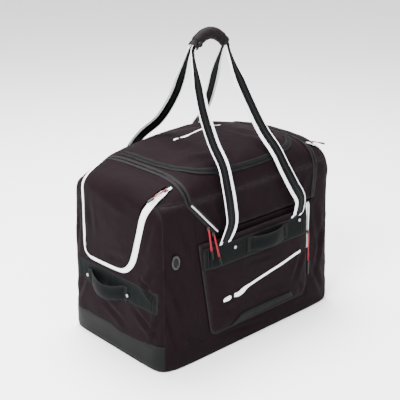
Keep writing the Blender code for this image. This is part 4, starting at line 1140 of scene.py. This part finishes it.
def make_front_pocket():
    sewn_on("front_pocket_cloth", 130, 90, pocket_spot, POCKET_SIZE, 0.0016, FABRIC, "fabric", "front_pocket")
    z = np.linspace(POCKET_TOP - 0.004, POCKET_LOW, 60)
    left = np.stack((pocket_edge(z) + 0.001, z), axis=1)
    bottom = np.stack((np.linspace(pocket_edge(POCKET_LOW) + 0.004, POCKET_RIGHT - 0.001, 90),
                       np.full(90, POCKET_LOW + 0.001)), axis=1)
    across, up = np.concatenate((left, bottom)).T
    points, normals = laid(on_front(across, up), front_relief, 0.0024)
    strip("front_pocket_edge", points, normals, 0.0055, 0.0014, BINDING, "bag_body", "fabric", crown=0.0007)
    points, normals = on_pocket(across + 0.007, np.maximum(up, POCKET_LOW + 0.008))
    stitches("front_pocket_stitches", points, normals, THREAD_DARK, "bag_body", 0.0004)
    sewn_on("front_patch_rubber", 90, 20, patch_spot, PATCH_SIZE, 0.0016, RUBBER, "rubber_patch",
            "front_patch")
    points, normals = on_pocket(*straight_runs(PATCH_STITCHES, 30))
    stitches("front_patch_stitches", points, normals, THREAD_DARK, "bag_body", 0.0034)

    z = np.linspace(FRONT_ZIP_HIGH, FRONT_ZIP_LOW, 60)
    points, normals = laid(on_front(FRONT_ZIP_X, z), lift=0.0006)
    widths = lerp(0.012, 0.018, (z - FRONT_ZIP_LOW) / (FRONT_ZIP_HIGH - FRONT_ZIP_LOW))
    widths *= np.clip((FRONT_ZIP_HIGH + 0.002 - z) / 0.014, 0.25, 1) ** 0.5
    strip("front_pocket_zip_trim", points, normals, widths, 0.0018, TAPE_WHITE, "bag_body", "white_trim",
          ["front_pocket_trim"], across=8, crown=0.0010)
    row_of_blocks("front_pocket_zip_teeth", points + normals * 0.0034, normals, 0.0022,
                  (0.0014, 0.0030, 0.0012), ZIP_COIL, "bag_body", "slider_metal")


def make_print():
    """A plain raised pictogram of a stick and a puck, on the front pocket and on the lid."""
    blade = [(0.0, 0.0), (0.018, -0.0035), (0.036, -0.001), (0.052, 0.004), (0.070, 0.0066)]
    blade_widths = np.concatenate((np.linspace(0.012, 0.019, 24), np.linspace(0.019, 0.0085, 25)))
    puck_widths = 0.015 * np.sqrt(np.clip(1 - np.linspace(-0.97, 0.97, 20) ** 4, 0.05, 1))
    parts = (("shaft", np.linspace((0.052, 0.004), (0.310, 0.032), 60), np.full(60, 0.0085)),
             ("blade", smooth_path(blade, 12), blade_widths),
             ("puck", np.linspace((-0.046, -0.002), (-0.014, 0.0006), 20), puck_widths))
    for word, surface, origin, scale, turn, body in (
            ("front", on_pocket, (-0.105, 0.180), 1.0, 0.085, "bag_body"),
            ("lid", on_lid, (-0.075, 0.035), 0.62, 0.0, "lid")):
        for part, route, widths in parts:
            along, up = route.T * scale
            points, normals = surface(origin[0] + along * math.cos(turn) - up * math.sin(turn),
                                      origin[1] + along * math.sin(turn) + up * math.cos(turn))
            strip(f"{word}_print_{part}", points + normals * 0.0002, normals, widths * scale, 0.0005, PRINT,
                  body, "white_trim", crown=0.0002)


# ---------------------------------------------------------------- webbing handles

def on_left(y, z):
    """Points on the outside of the left wall, with its folds, and their outward directions."""
    return laid(on_end(-1, y, z), end_relief)


def on_right(y, z):
    return laid(on_end(1, y, z), end_relief)


def make_band(name, place, start, end, low, high, node):
    """The haul band, sewn down along both its edges."""
    def spot(s, t):
        points, normals = place(lerp(start, end, s), lerp(low, high, t))
        edge = np.minimum(t, 1 - t) * (high - low)
        rise = BAND_LIFT + TAPE * np.sqrt(np.clip(edge / 0.002, 0.3, 1))
        rise = rise + 0.0003 * np.sin(s * (end - start) * math.tau / 0.031) * np.sin(np.pi * t)
        return points + normals * rise[:, None]

    sewn_on(name, 130, 20, spot, (abs(end - start), high - low), TAPE, WEBBING, "webbing", node)


def make_loop(name, place, start, end, low, high, reach, sag, node):
    """The hand loop: webbing sewn down at both tails and standing off between them."""
    def spot(s, t):
        along = lerp(start - LOOP_TAIL, end + LOOP_TAIL, s)
        bow = np.sin(np.pi * np.clip((along - start) / (end - start), 0, 1))
        points, normals = place(along, lerp(low, high, t) - sag * bow)
        roll = 0.0045 * np.abs(2 * t - 1) ** 2 * bow
        rise = np.maximum(reach * bow ** 0.75 - roll + 0.0004, 0.0003) + BAND_LIFT + TAPE * 2
        return points + normals * rise[:, None]

    sewn_on(name, 110, 18, spot, (end - start + 2 * LOOP_TAIL, high - low), TAPE, WEBBING, "webbing", node)


def make_bar_tacks(word, place, ends, band_low, loop, loop_low):
    """The close upright rows of thread that hold the loop's tails and the band's ends."""
    tails = (loop[0] - 0.010, loop[1] + 0.010, loop[0] - 0.0125, loop[1] + 0.0125)
    turns = [lerp(*ends, share) for share in (0.035, 0.060, 0.945, 0.970)]
    loop_heights = np.linspace(loop_low + 0.003, loop_low + LOOP_HEIGHT - 0.003, 30)
    band_heights = np.linspace(band_low + 0.005, band_low + HAUL_HEIGHT - 0.005, 30)
    rows = [(at, loop_heights, TAPE * 2) for at in tails] + [(at, band_heights, TAPE) for at in turns]
    for number, (at, heights, cloth) in enumerate(rows, 1):
        points, normals = place(np.full(30, at), heights)
        points += normals * (BAND_LIFT + cloth + 0.0006)
        row_of_blocks(f"{word}_bar_tack_{number}", points, normals, 0.0016, (0.0010, 0.0030, 0.0008),
                      THREAD_DARK, "bag_body", "webbing", slant=0.25)


def make_handle(word, place, ends, band_low, loop, loop_low, reach, sag, rivets, under_rivet):
    """A haul band with its hand loop, stitches, bar tacks and two rivets."""
    band_high = band_low + HAUL_HEIGHT
    make_band(word + "_haul_webbing", place, *ends, band_low, band_high, word + "_haul_band")
    make_loop(word + "_hand_loop", place, *loop, loop_low, loop_low + LOOP_HEIGHT, reach, sag,
              word + "_haul_loop")
    along = np.linspace(ends[0] + 0.004, ends[1] - 0.004, 90)
    for number, height in ((1, band_low + 0.004), (2, band_high - 0.004)):
        points, normals = place(along, np.full(90, height))
        stitches(f"{word}_band_stitches_{number}", points, normals, THREAD_DARK, "bag_body",
                 BAND_LIFT + TAPE + 0.0004)
    make_bar_tacks(word, place, ends, band_low, loop, loop_low)
    points, normals = place(*np.array(rivets).T)
    points += normals * (BAND_LIFT + under_rivet + 0.0003)
    for number in (1, 2):
        turned_disc(f"{word}_stud_{number}", points[number - 1], normals[number - 1], 0.0055, 0.0022, METAL,
                    "bag_body", "rivet_metal", f"{word}_rivet_{number}")


def make_handles():
    make_handle("front", on_pocket, (-0.222, 0.226), 0.294, (-0.030, 0.112), 0.308, 0.024, 0.0,
                [(-0.104, 0.342), (0.190, 0.350)], TAPE)
    for word, place in (("left", on_left), ("right", on_right)):
        low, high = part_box(word + "_haul_band")
        make_handle(word, place, (low.y, high.y), 0.192, (-0.050, 0.108), 0.190, 0.026, 0.016,
                    [(-0.072, 0.212), (0.130, 0.212)], TAPE * 2)


def make_vent():
    """A long oval eyelet with mesh behind it."""
    points, normals = laid(on_front(np.array([-0.322]), 0.350), front_relief, 0.0006)
    turned_disc("vent_eyelet", points[0], normals[0], 0.0145, 0.0030, VENT_METAL, "bag_body", "webbing",
                "vent_ring", oval=1.55, hole=0.0092)
    turned_disc("vent_screen", points[0], normals[0], 0.0092, 0.0012, MESH_CLOTH, "bag_body", "vent_mesh",
                "vent_mesh", oval=1.6)


# ---------------------------------------------------------------- white trims and piping

def trim_path(side):
    """The middle of the trim round an end flap, down its front edge, under it and up its back, and the
    trim's widths: broad at the front, and narrowing from under the flap on."""
    turns = np.linspace(*TRIM_TURNS, 14)
    climb = (turns - TRIM_TURNS[1]) / (TRIM_TURNS[0] - TRIM_TURNS[1])
    front = over_end(side, FLAP_FRONT_TOP - 0.003 * climb, turns)
    back = over_end(side, 0.152 + 0.006 * climb, turns)[::-1]
    outline = FLAP_OUTLINE[:]
    outline[0] = (outline[0][0], PANEL_TOP)
    outline[-1] = (outline[-1][0] - 0.001, PANEL_TOP)
    path = smooth_path(outline, 10)
    share = np.linspace(0, 1, len(path))
    widths = np.maximum(TRIM_NARROW, TRIM_BROAD - np.maximum(share - TRIM_FRONT_SHARE, 0.0) * TRIM_TAPER)
    run = unit(np.gradient(path, axis=0))
    away = np.stack((run[:, 1], -run[:, 0]), axis=1)
    middle = path + away * (widths / 2 + 0.0008)[:, None]
    points = np.concatenate((front, on_end(side, *middle.T), back))
    return even_path(points, np.concatenate((TRIM_BROAD - 0.008 * climb, widths, np.full(14, TRIM_NARROW))))


def even_path(points, widths, pitch=0.006):
    """The same path and widths with its points an even distance apart and its kinks smoothed."""
    length = run_along(points)
    spots = np.linspace(0, length[-1], int(length[-1] / pitch) + 1)
    moved = part_way(spots, length, points)
    for _ in range(3):
        moved[1:-1] = (moved[:-2] + 2 * moved[1:-1] + moved[2:]) / 4
    return moved, np.interp(spots, length, widths)


def make_end_trims(word, side):
    """The white trim round an end flap. The zip's teeth run along its inner edge, and stitches along its
    outer one."""
    points, widths = trim_path(side)
    normals = outward(points)
    count = np.arange(len(points))
    taper = np.clip(np.minimum(count, count[::-1]) / 5.0, 0.35, 1)
    strip(word + "_white_trim", points + normals * 0.0018, normals, widths * taper, 0.0020, TAPE_WHITE,
          "bag_body", "white_trim", [word + "_pocket_trim"], across=10, crown=0.0016)
    sides = across_path(points, normals)
    flap_middle = np.array((points[:, 0].mean(), 0.0, FLAP_CENTRE))
    inward = sides * np.sign(np.sum(sides * (flap_middle - points), axis=1, keepdims=True))
    half = widths[:, None] / 2
    teeth = points + inward * (half + 0.0002) + normals * 0.0020
    row_of_blocks(word + "_zip_teeth", teeth, normals, 0.0019, (0.0013, 0.0034, 0.0022), ZIP_COIL, "bag_body",
                  "slider_metal")
    seam = points - inward * (half - 0.0022)
    stitches(word + "_trim_stitches", seam[4:-4], normals[4:-4], THREAD_LIGHT, "bag_body", 0.0036)


def make_piping(word, side):
    """The piped seam round an end: up the front corner, over the shoulder and down the back corner."""
    z = np.linspace(0.008, 0.465, 80)
    x = side * (CORNER_SPLIT + 0.003) * half_length(z)
    front, back = on_front(x, z), on_front(x, z, 1)
    y = np.linspace(-0.2030, 0.2030, 70)
    over = on_end(side, y, end_height(side, y) + 0.0004)
    path, _ = even_path(np.concatenate((front, over, back[::-1])), np.ones(230))
    points, _ = laid(path, lift=-0.0002)
    tube(word + "_corner_piping", points, 0.0021, BINDING, "bag_body", "fabric")


def make_main_zip():
    """The lid's zip: a tape and a row of teeth on each side of the seam."""
    refinish("main_zip_tape", BINDING)
    y = np.linspace(LID_BACK, -0.205, 90)
    z = np.linspace(0.545, LID_HEM + 0.002, 50)
    for word, edge, hem, away in (("left", LID_LEFT, hem_left, -1), ("right", LID_RIGHT, hem_right, 1)):
        for part, body, outwards in (("body", "bag_body", away), ("lid", "lid", -away)):
            top = on_top(edge + outwards * 0.0016, y)
            down = on_front(hem(np.minimum(z, LID_FOLD)) + outwards * 0.0016, z)
            top = top[top[:, 2] > down[0, 2]]
            path, _ = even_path(np.concatenate((top, down)), np.ones(len(top) + len(down)), 0.004)
            below_fold = drop_lift(path[:, 2]) if part == "lid" else 0.0
            rise = np.where(path[:, 2] < LID_FOLD, below_fold, 0.2 * top_relief(path)) + 0.0006
            normals = outward(path)
            path += normals * rise[:, None]
            row_of_blocks(f"main_zip_{word}_{part}_teeth", path, normals, 0.0024, (0.0014, 0.0028, 0.0018),
                          ZIP_COIL, body, "slider_metal")
            sides = across_path(path, normals)
            tape = path + sides * np.sign(sides[:, 0:1]) * outwards * 0.0056
            strip(f"main_zip_{word}_{part}_tape", tape, normals, 0.0082, 0.0009, BINDING, body, "webbing",
                  crown=0.0004)


# ---------------------------------------------------------------- zip sliders and pulls

def centre_of(node):
    low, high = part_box(node)
    return np.array((low + high) / 2)


def set_in(piece, origin, across, down, out):
    """Places a piece modelled with X across, Y down and Z out."""
    shape = points_of(piece)
    put_points(piece, origin + shape[:, 0:1] * across + shape[:, 1:2] * down + shape[:, 2:3] * out)
    if np.dot(np.cross(across, down), out) < 0:
        piece.data.flip_normals()


def shaped_block(name, size, cuts, profile):
    """A rounded block 0 to size along Y, whose width and thickness follow profile(share)."""
    deselect()
    bpy.ops.mesh.primitive_cube_add(size=1, location=(0, 0.5, 0))
    piece = bpy.context.object
    bpy.ops.object.transform_apply(location=True, rotation=False, scale=False)
    bpy.ops.object.mode_set(mode="EDIT")
    bpy.ops.mesh.select_all(action="SELECT")
    bpy.ops.mesh.subdivide(number_cuts=cuts)
    bpy.ops.object.mode_set(mode="OBJECT")
    shape = points_of(piece)
    width, thick = profile(shape[:, 1])
    corner = 1 - 0.18 * (np.abs(shape[:, 0] * 2) ** 6) * (np.abs(shape[:, 2] * 2) ** 6)
    shape = np.stack((shape[:, 0] * size[0] * width * corner, shape[:, 1] * size[1],
                      shape[:, 2] * size[2] * thick * corner), axis=1)
    put_points(piece, shape)
    piece.name = name
    piece.data.name = name
    return piece


def wedge(share):
    """A slider's width and thickness along it."""
    return 1.0 - 0.30 * np.clip((share - 0.35) / 0.65, 0, 1), 1.0 - 0.25 * np.abs(2 * share - 1) ** 3


def grooved(share):
    """A tip's width and thickness along it, with grip ridges and rounded ends."""
    ridges = 0.12 * np.sin(share * math.pi * 7) ** 2 * (share > 0.1) * (share < 0.92)
    round_ends = 0.62 + 0.38 * np.sqrt(np.clip(np.minimum(share, 1 - share) / 0.07, 0, 1))
    return (1.0 - 0.28 * share) * round_ends, (1.0 - ridges) * round_ends


def make_slider(name, body, across, hanging):
    """The slider's wedge and the bridge that the pull hangs from."""
    seat = centre_of(name + "_slider")
    out = outward(seat[None])[0]
    down = np.cross(out, across)
    down *= np.sign(np.dot(down, hanging))
    plate = shaped_block(name + "_slider_body", (0.0098, 0.0124, 0.0034), 6, wedge)
    set_in(plate, seat - down * 0.0066, across, down, out)
    dress(plate, SLIDER, body, "slider_metal", name + "_slider")
    bridge = [seat - down * 0.0046 * math.cos(turn) + out * (0.0016 + 0.0034 * math.sin(turn))
              for turn in np.linspace(0, math.pi, 12)]
    tube(name + "_slider_bridge", bridge, 0.0008, SLIDER, body, "slider_metal")


def make_zip_fitting(name, slider_body, pull_body, tip_length, outwards):
    """A slider and its pull: a doubled red cord from the bridge down into a moulded tip."""
    joint = JOINTS[pull_body + "_hinge"]
    place = np.array(joint["pos_m"])
    across = unit(np.array(joint["axis"]))
    hanging = centre_of(name + "_pull_tip") - place
    cord_length = np.linalg.norm(hanging) - tip_length / 2
    hanging = unit(hanging)
    facing = np.cross(across, hanging)
    facing *= np.sign(np.dot(facing, outwards))
    make_slider(name, slider_body, across, hanging)
    half = 0.0012
    loop = [place + across * half * math.cos(turn) + hanging * (0.0003 - half * math.sin(turn))
            for turn in np.linspace(0, math.pi, 8)]
    for way, shares in ((-1, np.linspace(0.08, 1, 14)), (1, np.linspace(1, 0.08, 14))):
        loop += [place + across * way * (half + 0.0010 * share) + hanging * (cord_length + 0.002) * share
                 - facing * way * 0.0003 * math.sin(share * 9) for share in shares]
    tube(name + "_cord_loop", loop, 0.00135, RED_CORD, pull_body, "pull_cord", [name + "_pull_cord"],
         closed=True, sides=12)
    tip = shaped_block(name + "_moulded_tip", (0.0092, tip_length, 0.0046), 14, grooved)
    set_in(tip, place + hanging * cord_length, across, hanging, facing)
    dress(tip, TIP, pull_body, "pull_tip", name + "_pull_tip")


def make_zip_fittings():
    forwards = (0.0, -1.0, 0.0)
    make_zip_fitting("main_zip_a", "main_slider_a", "main_pull_a", 0.026, forwards)
    make_zip_fitting("main_zip_b", "bag_body", "main_pull_b", 0.026, forwards)
    make_zip_fitting("front_zip", "front_slider", "front_pull", 0.050, forwards)
    make_zip_fitting("left_zip", "bag_body", "left_pull", 0.024, (-0.6, 0.0, 0.8))
    make_zip_fitting("right_zip", "bag_body", "right_pull", 0.024, (0.6, 0.0, 0.8))


# ---------------------------------------------------------------- carry straps and grip

def grip_height(share):
    """Height of the grip's middle line; share runs from -1 to 1 along it."""
    return GRIP_TOP - GRIP_DROP * share * share


CARRY_STRAPS = (("front", -1, "front_carry_strap"), ("rear", 1, "rear_carry_strap"))
FOOT_STITCHES = [(-0.018, -0.010), (0.018, -0.010), (0.018, -0.040), (-0.018, -0.040), (-0.018, -0.010),
                 (0.018, -0.040), (0.018, -0.010), (-0.018, -0.040)]


def strap_route(side):
    """The strap's middle line, from its left foot up through the grip and down to its right foot."""
    foot = side * STRAP_FOOT_DEPTH
    if side < 0:
        left = [(-0.142, foot, STRAP_FOOT), (-0.122, foot - 0.003, 0.425), (-0.125, foot - 0.001, 0.480),
                (-0.125, -0.232, 0.540), (-0.118, -0.205, 0.595), (-0.115, -0.158, 0.655),
                (-0.106, -0.106, 0.740), (-0.088, -0.060, 0.825), (-0.066, -0.018, 0.882)]
        right = [(0.082, -0.018, 0.882), (0.072, -0.060, 0.825), (0.082, -0.106, 0.740),
                 (0.094, -0.158, 0.655), (0.108, -0.205, 0.595), (0.122, -0.232, 0.540),
                 (0.150, foot - 0.001, 0.480), (0.184, foot - 0.003, 0.425), (0.180, foot, STRAP_FOOT)]
    else:
        left = [(-0.142, foot, STRAP_FOOT), (-0.136, foot + 0.003, 0.425), (-0.132, foot + 0.001, 0.480),
                (-0.124, 0.232, 0.545), (-0.108, 0.190, 0.605), (-0.078, 0.132, 0.665),
                (-0.056, 0.086, 0.745), (-0.054, 0.048, 0.825), (-0.058, 0.018, 0.880)]
        right = [(0.086, 0.018, 0.880), (0.094, 0.048, 0.825), (0.108, 0.086, 0.745),
                 (0.122, 0.132, 0.665), (0.136, 0.190, 0.605), (0.148, 0.232, 0.545),
                 (0.164, foot + 0.001, 0.480), (0.170, foot + 0.003, 0.425), (0.165, foot, STRAP_FOOT)]
    grip = [(GRIP_MIDDLE + share * GRIP_HALF, side * 0.0060, grip_height(share))
            for share in (-1.02, -0.5, 0.0, 0.5, 1.02)]
    return smooth_path(left + grip + right, 9)


def make_strap_foot(name, surface, x, lean, tail, lift):
    """The tail of a strap, sewn to the bag below the place where the strap turns."""
    z = np.linspace(STRAP_FOOT - 0.0010, STRAP_FOOT - tail, 30)
    points, normals = surface(x + (z - STRAP_FOOT) * lean, z)
    hug = np.clip((STRAP_FOOT - z) / 0.012, 0, 1)
    stand_off = np.maximum(STRAP_FOOT_DEPTH - 0.0013 - np.abs(points[:, 1]), 0.0)
    points += normals * lerp(stand_off, lift, hug)[:, None]
    strip(name, points, normals, STRAP_WIDTH, STRAP_THICK * 0.8, STRAP, "bag_body", "strap_webbing",
          across=16, crown=0.0005, level=0.01)


def make_strap(word, side, body):
    """A carry strap: one length of webbing that narrows where it folds into the grip."""
    points = strap_route(side)
    normals = np.full_like(points, (0.0, side, 0.0))
    widths = lerp(STRAP_WIDTH, STRAP_FOLDED, np.clip((points[:, 2] - 0.80) / 0.08, 0, 1))
    strip(word + "_strap_webbing", points - normals * STRAP_THICK / 2, normals, widths, STRAP_THICK * 0.8,
          STRAP, body, "strap_webbing", [word + "_strap"], across=16, crown=0.0005, level=0.05)


def make_straps():
    front, rear = CARRY_STRAPS
    make_strap(*front)
    for end, x, lean in (("left", -0.142, -0.18), ("right", 0.180, 0.05)):
        make_strap_foot("front_strap_foot_" + end, on_pocket, x, lean, 0.0125, 0.0006)
    make_strap(*rear)
    for end, x, lean in (("left", -0.142, -0.18), ("right", 0.165, 0.05)):
        make_strap_foot("rear_strap_foot_" + end, on_back, x, lean, 0.045, 0.0044)
        across, up = straight_runs(FOOT_STITCHES, 14)
        points, normals = on_back(x + across, STRAP_FOOT + up)
        stitches("rear_foot_stitches_" + end, points, normals, THREAD_DARK, "bag_body", 0.0074)


def grip_points(s, t, side):
    """One half of the padded sleeve: its hems are pinched and its middle swells and wrinkles."""
    share = 2 * s - 1
    turn = np.radians(lerp(4.0, 176.0, t))
    centre = vectors(GRIP_MIDDLE + share * GRIP_HALF, 0.0, grip_height(share))
    along = unit(vectors(GRIP_HALF, 0.0, -2 * GRIP_DROP * share))
    up = np.cross(along, (0.0, -1.0, 0.0))
    up *= np.sign(up[:, 2:3])
    edge = np.minimum(s, 1 - s) * 2 * GRIP_HALF
    hem = 0.0022 * np.exp(-((edge - 0.010) / 0.0028) ** 2)
    wrinkle = 0.0007 * np.sin(share * 17 + np.sin(turn * 2) * 1.6) * np.sin(turn) * np.clip(edge / 0.02, 0, 1)
    radius = (GRIP_RADIUS - 0.0002) * (1.0 - 0.10 * share ** 2) - hem + wrinkle
    out = up * np.cos(turn)[:, None] + np.array((0.0, side, 0.0)) * np.sin(turn)[:, None]
    return centre + out * radius[:, None]


def make_grip():
    for word, side, body in CARRY_STRAPS:
        piece = lay_grid(word + "_grip_pad", 80, 40, partial(grip_points, side=side), (0.15, 0.06))
        faces = piece.data.polygons
        if faces[len(faces) // 2].normal.y * side < 0:
            piece.data.flip_normals()
        thicken(piece, 0.0042)
        dress(piece, GRIP_CLOTH, body, "fabric", "grip_" + word)
    low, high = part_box("grip_snap")
    centre = np.array(((low.x + high.x) / 2, high.y, (low.z + high.z) / 2))
    turned_disc("grip_snap_button", centre, np.array((0.0, -1.0, 0.0)), 0.0085, 0.0048, TIP,
                "front_carry_strap", "pull_tip", "grip_snap")


# ---------------------------------------------------------------- base

def make_base():
    """The tarpaulin base, the board on it and the piping round its edge."""
    refinish("base_panel", TARP)
    refinish("base_board", BOARD)
    turn = np.linspace(0, math.tau, 220, endpoint=False)
    rim = skin(vectors(0.0, 0.0, np.full(220, 0.010)), vectors(np.cos(turn), np.sin(turn) * 0.6, 0.0))
    tube("base_piping", rim - outward(rim) * 0.0004 - np.array((0, 0, 0.0045)), 0.0024, BINDING, "bag_body",
         "fabric", closed=True)


# ---------------------------------------------------------------- stage

def add_lamp(name, place, target, size, power):
    """A round soft light, aimed at a spot."""
    light = bpy.data.lights.new(name, "AREA")
    light.shape = "DISK"
    light.size = size
    light.energy = power
    lamp = bpy.data.objects.new(name, light)
    bpy.context.scene.collection.objects.link(lamp)
    lamp.location = place
    lamp.rotation_euler = (Vector(target) - Vector(place)).to_track_quat("-Z", "Y").to_euler()


def make_stage():
    deselect()
    bpy.ops.mesh.primitive_plane_add(size=40, location=(0, 0, 0))
    floor = bpy.context.object
    floor.name = "floor"
    paint = bpy.data.materials.new("studio floor")
    paint.use_nodes = True
    shader = paint.node_tree.nodes["Principled BSDF"]
    shader.inputs["Base Color"].default_value = (0.93, 0.93, 0.93, 1)
    shader.inputs["Roughness"].default_value = 0.7
    floor.data.materials.append(paint)
    world = bpy.data.worlds.new("studio")
    bpy.context.scene.world = world
    world.use_nodes = True
    background = world.node_tree.nodes["Background"]
    background.inputs["Color"].default_value = (1.0, 1.0, 1.0, 1)
    background.inputs["Strength"].default_value = 1.6
    add_lamp("key", (-2.9, -0.9, 3.2), (0, 0, 0.3), 1.8, 420)
    add_lamp("fill", (2.4, -3.2, 1.6), (0, 0, 0.3), 2.6, 40)
    add_lamp("top", (0.3, 0.9, 3.6), (0, 0, 0.4), 2.0, 420)


CAMERA_TURN = math.radians(-42.9)
CAMERA_RISE = math.radians(22.35)
CAMERA_DISTANCE = 2.885
CAMERA_TARGET = Vector((0.0, 0.0, 0.3))


def make_camera():
    level = math.cos(CAMERA_RISE)
    back = Vector((math.sin(CAMERA_TURN) * level, -math.cos(CAMERA_TURN) * level, math.sin(CAMERA_RISE)))
    data = bpy.data.cameras.new("camera")
    data.lens = 78.3
    data.sensor_width = 36
    data.shift_x = -0.0135
    data.shift_y = 0.0718
    camera = bpy.data.objects.new("camera", data)
    bpy.context.scene.collection.objects.link(camera)
    camera.location = CAMERA_TARGET + back * CAMERA_DISTANCE
    camera.rotation_euler = (-back).to_track_quat("-Z", "Y").to_euler()
    bpy.context.scene.camera = camera


make_camera()
make_stage()
make_base()
make_front_wall()
make_back_wall()
for end_word, end_side in (("left", -1), ("right", 1)):
    make_end(end_word, end_side)
    make_end_trims(end_word, end_side)
    make_piping(end_word, end_side)
make_lid()
make_front_pocket()
make_print()
make_handles()
make_vent()
make_main_zip()
make_zip_fittings()
make_straps()
make_grip()
